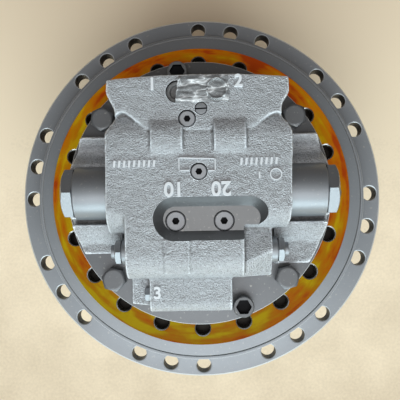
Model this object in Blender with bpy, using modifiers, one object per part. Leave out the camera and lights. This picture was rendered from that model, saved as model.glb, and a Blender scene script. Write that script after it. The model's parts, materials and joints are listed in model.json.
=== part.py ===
"""Excavator final drive: a hydraulic travel motor, its spindle and a two-stage planetary
gearbox in a rotating hub. It stands on its gearbox cover, with the motor facing up (+Z).
Metres. The origin is on the hub's axis, at the cover's resting face."""

import math

import bmesh
import bpy
from mathutils import Matrix, Vector

MM = 0.001

# Clearances
FIT = 0.3 * MM
RUN = 0.5 * MM
FACE_GAP = 2.3 * MM

# Facets of one full turn
LARGE = 40
MIDDLE = 28
SMALL = 16
FINE = 10
COARSE = 8
ROUND_STEPS = 4
EDGE_STEPS = 2

# Gear data of both stages, which share one ring gear
GEAR_MODULE = 4.5 * MM
RING_TEETH = 60
SUN_1_TEETH = 12
SUN_2_TEETH = 18
PLANET_COUNT = 3
PRESSURE_ANGLE = math.radians(25)
ADDENDUM = 0.9
DEDENDUM = 1.2
BACKLASH = 0.3 * MM
CURVED_BELOW = 20
STAGE_1_FACE = 28 * MM
STAGE_2_FACE = 44 * MM
RING_WALL = 12 * MM
CARRIER_PLATE = 14 * MM
CARRIER_GAP = 5 * MM
PIN_1_RADIUS = 17 * MM
PIN_2_RADIUS = 19 * MM
PIN_HEAD = 3 * MM
CARRIER_MARGIN = 6 * MM
PIN_HEAD_LIP = 5 * MM

# Gearbox cover, which the drive stands on
COVER_STEP = 12 * MM
COVER_FLANGE = 12 * MM
COVER_FACE_RADIUS = 138 * MM
COVER_CHAMFER = 4 * MM
COVER_PLUG_SINK = 2 * MM
COVER_BOLTS = 10
COVER_BOLT_ACROSS = 19 * MM
COVER_BOLT_HEAD = 8 * MM
COVER_PLUG_RADIUS = 13 * MM
COVER_PLUG_CIRCLE = 106 * MM
THRUST_PAD_HEIGHT = 3 * MM
STAGE_1_CLEARANCE = 10 * MM

# Main bearings between hub and spindle
JOURNAL_RADIUS = 110 * MM
RACE_WALL = 10 * MM
ROLLER_RADIUS = 9 * MM
ROLLER_LENGTH = 21 * MM
ROLLERS = 10
BEARING_WIDTH = 28 * MM
BEARING_WEB = 8 * MM
BEARING_WEB_HEIGHT = 5 * MM
NUT_HEIGHT = 15 * MM
NUT_WALL = 14 * MM
CAGE_WALL = 6 * MM
CAGE_THICKNESS = 3 * MM

# Floating seal between hub and spindle
SEAL_WALL = 10 * MM
SEAL_RING_HEIGHT = 8 * MM
SEAL_SEAT_WALL = 10 * MM
SEAL_TOE = 3 * MM

# Hub and its sprocket flange
HUB_WALL = 17 * MM
HUB_TOP_MARGIN = 15.8 * MM
SPROCKET_PILOT_STEP = 8 * MM
SPROCKET_PILOT_HEIGHT = 12 * MM
SPROCKET_FLANGE = 22 * MM
SPROCKET_EDGE = 13 * MM
SPROCKET_HOLE_INSET = 9.5 * MM
SPROCKET_HOLE_RADIUS = 8.75 * MM
HOLE_GROUPS = 8
HOLES_PER_GROUP = 3
HOLE_PITCH = math.radians(11.25)
RIM_HEIGHT = 12 * MM
RIM_WALL = 3.5 * MM
RIM_GAP = 3.5 * MM

# Spindle: frame flange, motor casing and bearing spigot in one casting
FRAME_BOLT_INSET = 13.5 * MM
FRAME_BOLTS = 20
FRAME_HOLE_RADIUS = 8.5 * MM
FRAME_HOLE_DEPTH = 18 * MM
FRAME_FACE_MARGIN = 19 * MM
FRAME_FLANGE_MARGIN = 13.5 * MM
FRAME_FLANGE = 18 * MM
FRAME_FACE_STEP = 3.5 * MM
FRAME_FLANGE_RISE = 7 * MM
CASING_MARGIN = 3 * MM
CASING_HEIGHT = 49.5 * MM
SHOULDER_MARGIN = 8 * MM

# Travel motor inside the casing
CAVITY_MARGIN = 18 * MM
BRAKE_STEP = 14 * MM
CAVITY_FLOOR = 36 * MM
PIVOT_RISE = 25 * MM
ROCKER_RADIUS = 30 * MM
ROCKER_INNER = 30 * MM
ROCKER_MARGIN = 2 * MM
SADDLE_RISE = 15 * MM
SADDLE_HALF_WIDTH = 34 * MM
SWASH_STANDOFF = 4 * MM
SWASH_THICKNESS = 14 * MM
SWASH_TILT = math.radians(14)
SHOE_GAP = 1.5 * MM
SHOE_RADIUS = 11 * MM
SHOE_HEIGHT = 4 * MM
NECK_RADIUS = 6 * MM
NECK_HEIGHT = 5 * MM
PISTONS = 7
PISTON_INSET = 18 * MM
PISTON_RADIUS = 9 * MM
BLOCK_RADIUS = 60 * MM
BLOCK_CLEARANCE = 12 * MM
BLOCK_HEIGHT = 54 * MM
BLOCK_RELIEF = 16 * MM
VALVE_PLATE = 6.7 * MM
PLATE_GRIP = 10 * MM
FRICTION_PLATE = 4 * MM
STEEL_PLATE = 3 * MM
BRAKE_PISTON_HEIGHT = 22 * MM
BRAKE_PISTON_WALL = 26 * MM
SPRING_THICKNESS = 5 * MM
SPRING_SPACE = 17.5 * MM
SHAFT_RADIUS = 16 * MM
SHAFT_JOURNAL = 22 * MM
SHAFT_SPLINE = 20 * MM
SHAFT_TAIL = 14.5 * MM
SHAFT_BEARING_WALL = 12 * MM
SHAFT_BEARING_WIDTH = 20 * MM

# Rear cover: a valve block cast on a round base
BASE_RADIUS = 137.5 * MM
BASE_THICKNESS = 22 * MM
BLOCK_RISE = 50 * MM
BOLT_MARGIN = 11.5 * MM
HEX_BOLT_ANGLES = (37.7, 142.2, 224.8, 314.9)
SCREW_ANGLES = (99.4, 290.1)
BOLT_RADIUS = 6.5 * MM
HEX_ACROSS = 22 * MM
HEX_HEAD = 12 * MM
SCREW_HEAD_RADIUS = 10.8 * MM
SCREW_HEAD = 14 * MM
SCREW_SOCKET = 12 * MM
SCREW_SOCKET_DEPTH = 8 * MM
BOLT_GRIP = 20 * MM

CAST_STEP = 0.1 * MM
MIDDLE_HALF_WIDTH = 90 * MM
MIDDLE_SOUTH = -38 * MM
SOUTH_SHOULDER = 23 * MM
MIDDLE_NORTH = 48 * MM
NORTH_SHOULDER = 36 * MM
NORTH_FALL = 30 * MM
MIDDLE_CORNER = 59 * MM
SOUTH_WEST = -72 * MM
SOUTH_EAST = 43 * MM
SOUTH_EDGE = -87 * MM
SOUTH_ROUND = 25 * MM
STEP_EAST = 71.5 * MM
STEP_DROP = 12 * MM
PORT_WAIST = 80 * MM
PORT_HALF_WIDTH = 88.5 * MM
PORT_NORTH = 107.8 * MM
PORT_BOW = 4.2 * MM
PORT_SHOULDER = 94 * MM
PORT_NECK = 73 * MM
CREASE = ((70 * MM, 74 * MM), (58 * MM, 64 * MM), (48 * MM, 58.5 * MM))
SADDLE_CENTRES = (-29.9 * MM, 31.4 * MM)
SADDLE_LENGTH = 31.5 * MM
SADDLE_NORTHING = 51 * MM
SADDLE_ROUND = 28 * MM
SADDLE_DROP = 22 * MM
RECESS_WEST = -23.5 * MM
RECESS_EAST = 48 * MM
RECESS_NORTHING = -28 * MM
RECESS_RADIUS = 21 * MM
RECESS_DRAFT = 9 * MM
RECESS_DEPTH = 11 * MM
RIB_CENTRE = -21.8 * MM
RIB_RADIUS = 12.3 * MM
RIB_NORTH = -50 * MM
RIB_SOUTH = -76 * MM
RIB_RISE = 2 * MM

BOSS_RISE = 7 * MM
BOSS_RADIUS = 27.5 * MM
BOSS_REACH = 130 * MM
RELIEF_BORE = 18 * MM
RELIEF_DEPTH = 59 * MM
RELIEF_ACROSS = 48 * MM
RELIEF_HEAD = 12.5 * MM
SPOTFACE_RADIUS = 29.5 * MM
SIDE_TRIM = 3 * MM
LUG_START = 80 * MM
LUG_NORTH = 59 * MM
LUG_CREST = 54 * MM
LUG_RISE = 11 * MM
LUG_VALLEY = (44 * MM, 4 * MM)
FOOT_TOE = (-33 * MM, 13 * MM)
FOOT_STEP = (-52 * MM, 5 * MM)
FEET = {"west": (88 * MM, -62.5 * MM), "east": (68 * MM, -75 * MM)}

SPOOL_NORTHING = -60 * MM
SPOOL_DROP = 29 * MM
SPOOL_RADIUS = 11 * MM
SPOOL_GROOVE = 3 * MM
SPOOL_LANDS = 5
SPOOL_HALF_LENGTH = 50 * MM
SPOOL_STROKE = 6 * MM
CAP_COLLAR_RADIUS = 14.5 * MM
CAP_COLLAR = 5 * MM
CAP_ACROSS = 24 * MM
CAP_HEAD = 9 * MM
CAP_TIP_RADIUS = 8 * MM
CAP_TIP = 3 * MM

PILOT_WEST = -52 * MM
PILOT_EAST = 32 * MM
PILOT_SOUTH = -122 * MM
PILOT_RISE = 20 * MM
PILOT_ROUND = 12 * MM
LEDGE_WEST = -70 * MM
LEDGE_SOUTH = -113 * MM
LEDGE_RISE = 8 * MM
SPEED_NORTHING = -104 * MM
SPEED_RISE = 9 * MM
SPEED_RADIUS = 7 * MM
SPEED_LENGTH = 50 * MM
SPEED_WAIST = 17 * MM
SPEED_STROKE = 8 * MM
SPEED_CAP_ACROSS = 13 * MM
SPEED_CAP_HEAD = 5 * MM

TOP_PLUG_DEPTH = 10 * MM
TOP_PLUG_SINK = 0.6 * MM
SOCKET_ACROSS = 5.5 * MM
SOCKET_DEPTH = 5 * MM
GALLERY_PLUG = ((-9.7 * MM, 68.7 * MM), 8.0 * MM)
BLEED_SCREW = ((3.9 * MM, 78.3 * MM), 5.6 * MM)
MIDDLE_PLUG = ((0.8 * MM, 17.3 * MM), 7.8 * MM)
RECESS_PLUGS = ((-22.9 * MM, -30.1 * MM), (24.5 * MM, -30.5 * MM))
RECESS_PLUG_RADIUS = 9.6 * MM
BLEED_SLOT = 1.6 * MM
PORT_PLACES = ((-19 * MM, 95 * MM), (19 * MM, 95 * MM))
PORT_RADIUS = 10.5 * MM
PORT_DEPTH = 20 * MM
PORT_SINK = 1.5 * MM

# Sizes that follow from the ones above
PLANET_1_TEETH = (RING_TEETH - SUN_1_TEETH) // 2
PLANET_2_TEETH = (RING_TEETH - SUN_2_TEETH) // 2
CENTRE_1 = GEAR_MODULE * (SUN_1_TEETH + PLANET_1_TEETH) / 2
CENTRE_2 = GEAR_MODULE * (SUN_2_TEETH + PLANET_2_TEETH) / 2
RING_ROOT = GEAR_MODULE * (RING_TEETH / 2 + DEDENDUM)
RING_OUTER = RING_ROOT + RING_WALL

COVER_TOP = COVER_STEP + COVER_FLANGE
HUB_FOOT = COVER_TOP + FIT
STAGE_1_LOW = HUB_FOOT + STAGE_1_CLEARANCE
STAGE_1_TOP = STAGE_1_LOW + STAGE_1_FACE
CARRIER_1_LOW = STAGE_1_TOP + FACE_GAP
CARRIER_1_TOP = CARRIER_1_LOW + CARRIER_PLATE
STAGE_2_LOW = CARRIER_1_TOP + CARRIER_GAP
STAGE_2_TOP = STAGE_2_LOW + STAGE_2_FACE
RING_TOP = STAGE_2_TOP + CARRIER_GAP
CARRIER_2_LOW = STAGE_2_TOP + FACE_GAP
CARRIER_2_TOP = CARRIER_2_LOW + CARRIER_PLATE
SPIGOT_END = CARRIER_2_TOP + FIT
BEARING_LOW = SPIGOT_END + NUT_HEIGHT + FIT
BEARING_TOP = BEARING_LOW + 2 * BEARING_WIDTH + BEARING_WEB
SPROCKET_FACE = BEARING_TOP + HUB_TOP_MARGIN
RIM_TOP = SPROCKET_FACE + RIM_HEIGHT
FRAME_FLANGE_LOW = SPROCKET_FACE + FRAME_FLANGE_RISE
FRAME_FLANGE_TOP = FRAME_FLANGE_LOW + FRAME_FLANGE
FRAME_FACE = FRAME_FLANGE_TOP + FRAME_FACE_STEP
CASING_TOP = FRAME_FACE + CASING_HEIGHT

BARREL_RADIUS = RING_OUTER + FIT + HUB_WALL
CASING_RADIUS = BASE_RADIUS + CASING_MARGIN
BOLT_CIRCLE = BASE_RADIUS - BOLT_MARGIN
FRAME_BOLT_CIRCLE = CASING_RADIUS + FRAME_BOLT_INSET
FRAME_FACE_RADIUS = FRAME_BOLT_CIRCLE + FRAME_FACE_MARGIN
FRAME_RADIUS = FRAME_FACE_RADIUS + FRAME_FLANGE_MARGIN
RIM_INNER = FRAME_RADIUS + RIM_GAP
RIM_OUTER = RIM_INNER + RIM_WALL
SPROCKET_CIRCLE = RIM_OUTER + SPROCKET_HOLE_INSET
SPROCKET_RADIUS = SPROCKET_CIRCLE + SPROCKET_EDGE

INNER_RACE_OUTER = JOURNAL_RADIUS + RACE_WALL
ROLLER_CIRCLE = INNER_RACE_OUTER + RUN + ROLLER_RADIUS
OUTER_RACE_OUTER = ROLLER_CIRCLE + ROLLER_RADIUS + 2 * RUN + RACE_WALL
SHOULDER_RADIUS = JOURNAL_RADIUS + SHOULDER_MARGIN

CAVITY_RADIUS = BLOCK_RADIUS + CAVITY_MARGIN
BRAKE_BORE_RADIUS = CAVITY_RADIUS + BRAKE_STEP
SWASH_RADIUS = BLOCK_RADIUS
ROCKER_OUTER = SWASH_RADIUS - ROCKER_MARGIN
PISTON_CIRCLE = BLOCK_RADIUS - PISTON_INSET
FLOOR_Z = SPIGOT_END + CAVITY_FLOOR
PIVOT_Z = FLOOR_Z + PIVOT_RISE
SHAFT_BEARING_RADIUS = SHAFT_JOURNAL + SHAFT_BEARING_WALL
SWASH_TOP = (SWASH_STANDOFF + SWASH_THICKNESS) / math.cos(SWASH_TILT)
SHOE_LOW = PIVOT_Z + SWASH_TOP + (PISTON_CIRCLE + SHOE_RADIUS) * math.tan(SWASH_TILT) + SHOE_GAP
BLOCK_LOW = SHOE_LOW + BLOCK_CLEARANCE
BLOCK_TOP = BLOCK_LOW + BLOCK_HEIGHT
VALVE_LOW = BLOCK_TOP + FIT
VALVE_TOP = VALVE_LOW + VALVE_PLATE
PLATE_PACK = 2 * (FRICTION_PLATE + STEEL_PLATE + 2 * FIT)
PLATE_LOW = CASING_TOP - SPRING_SPACE - BRAKE_PISTON_HEIGHT - PLATE_PACK
BRAKE_SHELF = PLATE_LOW - FIT
BASE_LOW = CASING_TOP + FIT
BASE_TOP = BASE_LOW + BASE_THICKNESS
BLOCK_FACE = BASE_TOP + BLOCK_RISE

PAINT = ("grey_paint", (0.42, 0.45, 0.50), 0.0, 0.45)
AMBER = ("coated_casting", (0.50, 0.48, 0.46), 0.0, 0.4)
STEEL = ("machined_steel", (0.55, 0.55, 0.56), 1.0, 0.35)
DARK = ("blackened_steel", (0.12, 0.12, 0.13), 0.8, 0.5)
BRONZE = ("bearing_bronze", (0.55, 0.38, 0.18), 1.0, 0.4)
LINING = ("friction_lining", (0.20, 0.15, 0.11), 0.0, 0.9)
PLASTIC = ("port_plastic", (0.75, 0.77, 0.80), 0.0, 0.5)

PARTS = bpy.data.collections.new("excavator_final_drive")
CUTTERS = bpy.data.collections.new("cutters")


def material(finish):
    """The named finish as a Principled material, made once."""
    name, colour, metallic, roughness = finish
    found = bpy.data.materials.get(name)
    if found:
        return found
    made = bpy.data.materials.new(name)
    made.use_nodes = True
    shader = made.node_tree.nodes["Principled BSDF"]
    shader.inputs["Base Color"].default_value = (*colour, 1)
    shader.inputs["Metallic"].default_value = metallic
    shader.inputs["Roughness"].default_value = roughness
    return made


def made_object(name, mesh, finish=None):
    """A part with a finish, or a helper without one."""
    obj = bpy.data.objects.new(name, mesh)
    if finish:
        PARTS.objects.link(obj)
        mesh.materials.append(material(finish))
    else:
        CUTTERS.objects.link(obj)
        obj.hide_render = True
        obj.display_type = "WIRE"
    return obj


def turned(name, profile, steps, finish=None, ring=True):
    """A profile of (radius, z) points, down the outer side first, screwed round Z."""
    mesh = bpy.data.meshes.new(name)
    count = len(profile)
    edges = [(i, i + 1) for i in range(count - 1)]
    if ring:
        edges.append((count - 1, 0))
    mesh.from_pydata([(radius, 0, z) for radius, z in profile], edges, [])
    obj = made_object(name, mesh, finish)
    screw = obj.modifiers.new("Turn", "SCREW")
    screw.steps = steps
    screw.render_steps = steps
    screw.use_merge_vertices = True
    screw.merge_threshold = 0.00001
    screw.use_smooth_shade = False
    return obj


def ring_profile(inner, outer, low, top):
    return [(outer, top), (outer, low), (inner, low), (inner, top)]


def rod(name, radius, start, end, at=(0, 0), axis="Z", steps=SMALL, finish=None):
    """A round bar from start to end along an axis. at gives its other two coordinates. One along
    Z has a flat facing the object's axis, so that no corner lies on a turned piece's edge."""
    mesh = bpy.data.meshes.new(name)
    shape = bmesh.new()
    bmesh.ops.create_cone(
        shape, cap_ends=True, segments=steps, radius1=radius, radius2=radius, depth=end - start
    )
    middle = (start + end) / 2
    if axis == "X":
        turn = Matrix.Translation((middle, *at)) @ Matrix.Rotation(math.pi / 2, 4, "Y")
    else:
        facing = math.atan2(at[1], at[0]) + math.pi / steps
        turn = Matrix.Translation((*at, middle)) @ Matrix.Rotation(facing, 4, "Z")
    bmesh.ops.transform(shape, matrix=turn, verts=shape.verts)
    shape.to_mesh(mesh)
    shape.free()
    return made_object(name, mesh, finish)


def block(name, low, high, round_edges=(), width=0, segments=ROUND_STEPS, finish=None):
    """A box between two corners. round_edges lists the edges to bevel, each as a pair of side
    names such as ("+Y", "+Z")."""
    mesh = bpy.data.meshes.new(name)
    shape = bmesh.new()
    bmesh.ops.create_cube(shape, size=1)
    size = Vector(high) - Vector(low)
    centre = (Vector(high) + Vector(low)) / 2
    bmesh.ops.scale(shape, vec=size, verts=shape.verts)
    chosen = []
    for edge in shape.edges:
        middle = (edge.verts[0].co + edge.verts[1].co) / 2
        sides = set()
        for i in range(3):
            if abs(middle[i]) > size[i] / 4:
                sides.add(("+" if middle[i] > 0 else "-") + "XYZ"[i])
        if sides in [set(pair) for pair in round_edges]:
            chosen.append(edge)
    if chosen:
        bmesh.ops.bevel(
            shape, geom=chosen, offset=width, segments=segments, profile=0.5, affect="EDGES"
        )
    bmesh.ops.translate(shape, vec=centre, verts=shape.verts)
    shape.to_mesh(mesh)
    shape.free()
    return made_object(name, mesh, finish)


def extruded(name, outlines, low, top, finish=None):
    """Closed 2D outlines, the later ones holes in the first, filled and extruded along Z."""
    curve = bpy.data.curves.new(name, "CURVE")
    curve.dimensions = "2D"
    curve.fill_mode = "BOTH"
    curve.extrude = (top - low) / 2
    for outline in outlines:
        spline = curve.splines.new("POLY")
        spline.points.add(len(outline) - 1)
        spline.use_cyclic_u = True
        for point, (x, y) in zip(spline.points, outline):
            point.co = (x, y, 0, 1)
    flat = bpy.data.objects.new(name + "_curve", curve)
    bpy.context.scene.collection.objects.link(flat)
    graph = bpy.context.evaluated_depsgraph_get()
    mesh = bpy.data.meshes.new_from_object(flat.evaluated_get(graph))
    bpy.data.objects.remove(flat)
    shape = bmesh.new()
    shape.from_mesh(mesh)
    bmesh.ops.remove_doubles(shape, verts=shape.verts, dist=0.000001)
    bmesh.ops.translate(shape, vec=(0, 0, (low + top) / 2), verts=shape.verts)
    shape.to_mesh(mesh)
    shape.free()
    mesh.name = name
    return made_object(name, mesh, finish)


def along_x(name, outline, start, end):
    """An outline of (y, z) points, extruded along X."""
    body = extruded(name, [outline], start, end)
    body.matrix_world = Matrix(((0, 0, 1, 0), (1, 0, 0, 0), (0, 1, 0, 0), (0, 0, 0, 1)))
    return body


def combine(obj, operation, *others):
    for other in others:
        modifier = obj.modifiers.new(other.name, "BOOLEAN")
        modifier.operation = operation
        modifier.object = other


def cut(obj, *others):
    combine(obj, "DIFFERENCE", *others)


def join(obj, *others):
    combine(obj, "UNION", *others)


def circle(radius, steps, centre=(0, 0), start=0.0):
    """Points of a regular polygon, anticlockwise."""
    turn = 2 * math.pi / steps
    return [
        (
            centre[0] + radius * math.cos(start + i * turn),
            centre[1] + radius * math.sin(start + i * turn),
        )
        for i in range(steps)
    ]


def clear_of(radius, steps, gap=FIT):
    """The corner radius of a faceted bore whose flats stay a gap outside a round of this radius."""
    return (radius + gap) / math.cos(math.pi / steps)


def hexagon(across, centre=(0, 0), start=0.0):
    return circle(across / math.sqrt(3), 6, centre, start)


def polar(radius, degrees):
    angle = math.radians(degrees)
    return radius * math.cos(angle), radius * math.sin(angle)


def planet_angles():
    return [360 / PLANET_COUNT * i for i in range(PLANET_COUNT)]


def involute(angle):
    return math.tan(angle) - angle


def gear_outline(teeth, internal=False, bite_at=0.0):
    """Involute teeth. The curved flanks of a small gear have two straight pieces, the flatter
    ones of a large gear have one. An internal gear's spaces have the shape of external teeth.
    bite_at is the angle of one tooth, or of one space if internal."""
    pitch = GEAR_MODULE * teeth / 2
    base = pitch * math.cos(PRESSURE_ANGLE)
    side = BACKLASH / 2 / pitch
    half = math.pi / teeth / 2 + (side if internal else -side) + involute(PRESSURE_ANGLE)
    if internal:
        radii = (pitch - ADDENDUM * GEAR_MODULE, pitch + DEDENDUM * GEAR_MODULE)
    elif teeth < CURVED_BELOW:
        radii = (pitch - DEDENDUM * GEAR_MODULE, pitch, pitch + ADDENDUM * GEAR_MODULE)
    else:
        radii = (pitch - DEDENDUM * GEAR_MODULE, pitch + ADDENDUM * GEAR_MODULE)
    flank = [(radius, half - involute(math.acos(min(1.0, base / radius)))) for radius in radii]
    points = []
    for tooth in range(teeth):
        centre = bite_at + 2 * math.pi * tooth / teeth
        points += [polar(radius, math.degrees(centre - angle)) for radius, angle in flank]
        points += [polar(radius, math.degrees(centre + angle)) for radius, angle in flank[::-1]]
    return points


def gearbox_cover():
    """Round cover with a raised resting face, a thrust pad and its ring of bolt heads."""
    cover = turned(
        "gearbox_cover",
        [
            (0, COVER_TOP + THRUST_PAD_HEIGHT),
            (SHAFT_JOURNAL, COVER_TOP + THRUST_PAD_HEIGHT),
            (SHAFT_JOURNAL, COVER_TOP),
            (BARREL_RADIUS, COVER_TOP),
            (BARREL_RADIUS, COVER_STEP),
            (COVER_FACE_RADIUS, COVER_STEP),
            (COVER_FACE_RADIUS - COVER_CHAMFER, 0),
            (0, 0),
        ],
        LARGE,
        PAINT,
        ring=False,
    )
    bolt_circle = (BARREL_RADIUS + COVER_FACE_RADIUS) / 2
    for i in range(COVER_BOLTS):
        centre = polar(bolt_circle, 360 / COVER_BOLTS * (i + 0.5))
        head = extruded(
            f"cover_bolt_head_{i}",
            [hexagon(COVER_BOLT_ACROSS, centre)],
            COVER_STEP - COVER_BOLT_HEAD,
            COVER_STEP + COVER_FLANGE / 2,
        )
        join(cover, head)
    for name, degrees in (("drain_plug", 270), ("level_plug", 0)):
        centre = polar(COVER_PLUG_CIRCLE, degrees)
        low = COVER_PLUG_SINK
        hole = rod(name + "_hole", COVER_PLUG_RADIUS + FIT, -COVER_STEP, COVER_STEP, centre)
        cut(cover, hole)
        plug = rod(name, COVER_PLUG_RADIUS, low, COVER_STEP - FIT, centre, finish=STEEL)
        socket = extruded(
            name + "_socket", [hexagon(COVER_PLUG_RADIUS, centre)], -COVER_STEP, COVER_STEP / 2
        )
        cut(plug, socket)


def hub():
    """The rotating housing: barrel, bearing bores and the sprocket flange with its rim."""
    ring_bore = RING_OUTER + FIT
    bearing_bore = clear_of(OUTER_RACE_OUTER, LARGE)
    web = bearing_bore - BEARING_WEB_HEIGHT
    web_low = BEARING_LOW + BEARING_WIDTH
    web_top = web_low + BEARING_WEB
    flange_low = SPROCKET_FACE - SPROCKET_FLANGE
    pilot = BARREL_RADIUS + SPROCKET_PILOT_STEP
    pilot_low = flange_low - SPROCKET_PILOT_HEIGHT
    body = turned(
        "hub",
        [
            (RIM_OUTER, RIM_TOP),
            (RIM_OUTER, SPROCKET_FACE),
            (SPROCKET_RADIUS, SPROCKET_FACE),
            (SPROCKET_RADIUS, flange_low),
            (pilot, flange_low),
            (pilot, pilot_low),
            (BARREL_RADIUS, pilot_low - SPROCKET_PILOT_STEP),
            (BARREL_RADIUS, HUB_FOOT),
            (ring_bore, HUB_FOOT),
            (ring_bore, RING_TOP + FIT),
            (bearing_bore, RING_TOP + FIT),
            (bearing_bore, web_low + FIT),
            (web, web_low + FIT),
            (web, web_top - FIT),
            (bearing_bore, web_top - FIT),
            (bearing_bore, BEARING_TOP),
            (seal_seat(), BEARING_TOP),
            (seal_seat(), SPROCKET_FACE),
            (RIM_INNER, SPROCKET_FACE),
            (RIM_INNER, RIM_TOP),
        ],
        LARGE,
        PAINT,
    )
    group_turn = 360 / HOLE_GROUPS
    for group in range(HOLE_GROUPS):
        for i in range(HOLES_PER_GROUP):
            along = i - HOLES_PER_GROUP + 1
            degrees = group_turn * (group + 1) + math.degrees(HOLE_PITCH) * along
            hole = rod(
                f"sprocket_hole_{group}_{i}",
                SPROCKET_HOLE_RADIUS,
                flange_low - RIM_HEIGHT,
                RIM_TOP,
                polar(SPROCKET_CIRCLE, degrees),
                steps=COARSE,
            )
            cut(body, hole)


def seal_outer():
    return OUTER_RACE_OUTER + SEAL_SEAT_WALL - FIT


def seal_seat():
    """The hub's bore round its seal ring."""
    return clear_of(seal_outer(), LARGE)


def floating_seal():
    """Two lapped metal rings, face to face, one seated in the hub and one in the spindle."""
    inner = seal_outer() - SEAL_WALL
    low = BEARING_TOP + FIT
    middle = low + SEAL_RING_HEIGHT
    top = FRAME_FLANGE_LOW - FIT
    turned(
        "seal_ring_hub",
        [
            (seal_outer(), middle),
            (seal_outer(), low),
            (inner + SEAL_TOE, low),
            (inner, middle),
        ],
        MIDDLE,
        STEEL,
    )
    turned(
        "seal_ring_frame",
        [
            (seal_outer() - SEAL_TOE, top),
            (seal_outer() - SEAL_TOE, middle + FIT),
            (inner, middle + FIT),
            (inner, top),
        ],
        MIDDLE,
        STEEL,
    )


def spindle():
    """The fixed casting: bearing spigot, frame flange and motor casing."""
    bearing_seat = clear_of(SHAFT_BEARING_RADIUS, LARGE)
    body = turned(
        "spindle",
        [
            (CASING_RADIUS, CASING_TOP),
            (CASING_RADIUS, FRAME_FACE),
            (FRAME_FACE_RADIUS, FRAME_FACE),
            (FRAME_FACE_RADIUS, FRAME_FLANGE_TOP),
            (FRAME_RADIUS, FRAME_FLANGE_TOP),
            (FRAME_RADIUS, FRAME_FLANGE_LOW),
            (SHOULDER_RADIUS, FRAME_FLANGE_LOW),
            (SHOULDER_RADIUS, BEARING_TOP + FIT),
            (JOURNAL_RADIUS, BEARING_TOP + FIT),
            (JOURNAL_RADIUS, SPIGOT_END),
            (bearing_seat, SPIGOT_END),
            (bearing_seat, SPIGOT_END + SHAFT_BEARING_WIDTH + FIT),
            (SHAFT_JOURNAL + CARRIER_GAP, SPIGOT_END + SHAFT_BEARING_WIDTH + FIT),
            (SHAFT_JOURNAL + CARRIER_GAP, FLOOR_Z),
            (CAVITY_RADIUS, FLOOR_Z),
            (CAVITY_RADIUS, BRAKE_SHELF),
            (BRAKE_BORE_RADIUS, BRAKE_SHELF),
            (BRAKE_BORE_RADIUS, CASING_TOP),
        ],
        LARGE,
        AMBER,
    )
    for sign in (-1, 1):
        inner, outer = sorted((sign * ROCKER_INNER, sign * ROCKER_OUTER))
        saddle = block(
            f"rocker_saddle_{sign}",
            (inner, -SADDLE_HALF_WIDTH, FLOOR_Z - CARRIER_GAP),
            (outer, SADDLE_HALF_WIDTH, FLOOR_Z + SADDLE_RISE),
        )
        join(body, saddle)
    groove = rod(
        "rocker_groove",
        clear_of(ROCKER_RADIUS, SMALL),
        -ROCKER_OUTER - FIT,
        ROCKER_OUTER + FIT,
        (0, PIVOT_Z),
        "X",
    )
    cut(body, groove)
    for i in range(FRAME_BOLTS):
        hole = rod(
            f"frame_hole_{i}",
            FRAME_HOLE_RADIUS,
            FRAME_FACE - FRAME_HOLE_DEPTH,
            CASING_TOP,
            polar(FRAME_BOLT_CIRCLE, 360 / FRAME_BOLTS * i),
            steps=COARSE,
        )
        cut(body, hole)
    for i, centre in enumerate(cover_bolt_places()):
        hole = rod(
            f"casing_bolt_hole_{i}",
            clear_of(BOLT_RADIUS, COARSE),
            CASING_TOP - BOLT_GRIP - FIT,
            BASE_TOP,
            centre,
            steps=COARSE,
        )
        cut(body, hole)


def cover_bolt_places():
    return [polar(BOLT_CIRCLE, degrees) for degrees in HEX_BOLT_ANGLES + SCREW_ANGLES]


def main_bearings():
    """Two tapered sets: an inner race on the spindle, an outer race in the hub, and a cage
    with its rollers that rolls between them."""
    for name, low in (
        ("lower", BEARING_LOW),
        ("upper", BEARING_LOW + BEARING_WIDTH + BEARING_WEB),
    ):
        top = low + BEARING_WIDTH
        meeting = BEARING_WEB / 2
        inner_low = low if name == "lower" else low - meeting + FIT
        inner_top = top + meeting if name == "lower" else top
        turned(
            f"bearing_inner_race_{name}",
            ring_profile(clear_of(JOURNAL_RADIUS, MIDDLE), INNER_RACE_OUTER, inner_low, inner_top),
            MIDDLE,
            STEEL,
        )
        outer_bore = (ROLLER_CIRCLE + ROLLER_RADIUS + RUN) / math.cos(math.pi / MIDDLE)
        turned(
            f"bearing_outer_race_{name}",
            ring_profile(outer_bore, OUTER_RACE_OUTER, low, top),
            MIDDLE,
            STEEL,
        )
        roller_low = low + (BEARING_WIDTH - ROLLER_LENGTH) / 2
        cage = turned(
            f"bearing_roller_set_{name}",
            ring_profile(
                ROLLER_CIRCLE - CAGE_WALL / 2,
                ROLLER_CIRCLE + CAGE_WALL / 2,
                roller_low - CAGE_THICKNESS / 2,
                roller_low + CAGE_THICKNESS / 2,
            ),
            ROLLERS,
            BRONZE,
        )
        for i in range(ROLLERS):
            roller = rod(
                f"roller_{name}_{i}",
                ROLLER_RADIUS,
                roller_low,
                roller_low + ROLLER_LENGTH,
                polar(ROLLER_CIRCLE, 360 / ROLLERS * i),
                steps=COARSE,
            )
            join(cage, roller)
    turned(
        "bearing_nut",
        ring_profile(
            clear_of(JOURNAL_RADIUS, MIDDLE),
            JOURNAL_RADIUS + NUT_WALL,
            SPIGOT_END + FIT,
            BEARING_LOW - FIT,
        ),
        MIDDLE,
        STEEL,
    )


def planetary_stage(stage, teeth, centre_radius, low, top, pin_radius):
    """The planets of one stage, each with its origin on its own pin."""
    bore = clear_of(pin_radius, FINE, RUN)
    for letter, degrees in zip("abc", planet_angles()):
        outline = gear_outline(teeth, bite_at=math.radians(degrees))
        rim = [outline, circle(bore, FINE)]
        planet = extruded(f"planet_gear_{stage}{letter}", rim, low, top, STEEL)
        planet.location = (*polar(centre_radius, degrees), 0)


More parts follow.
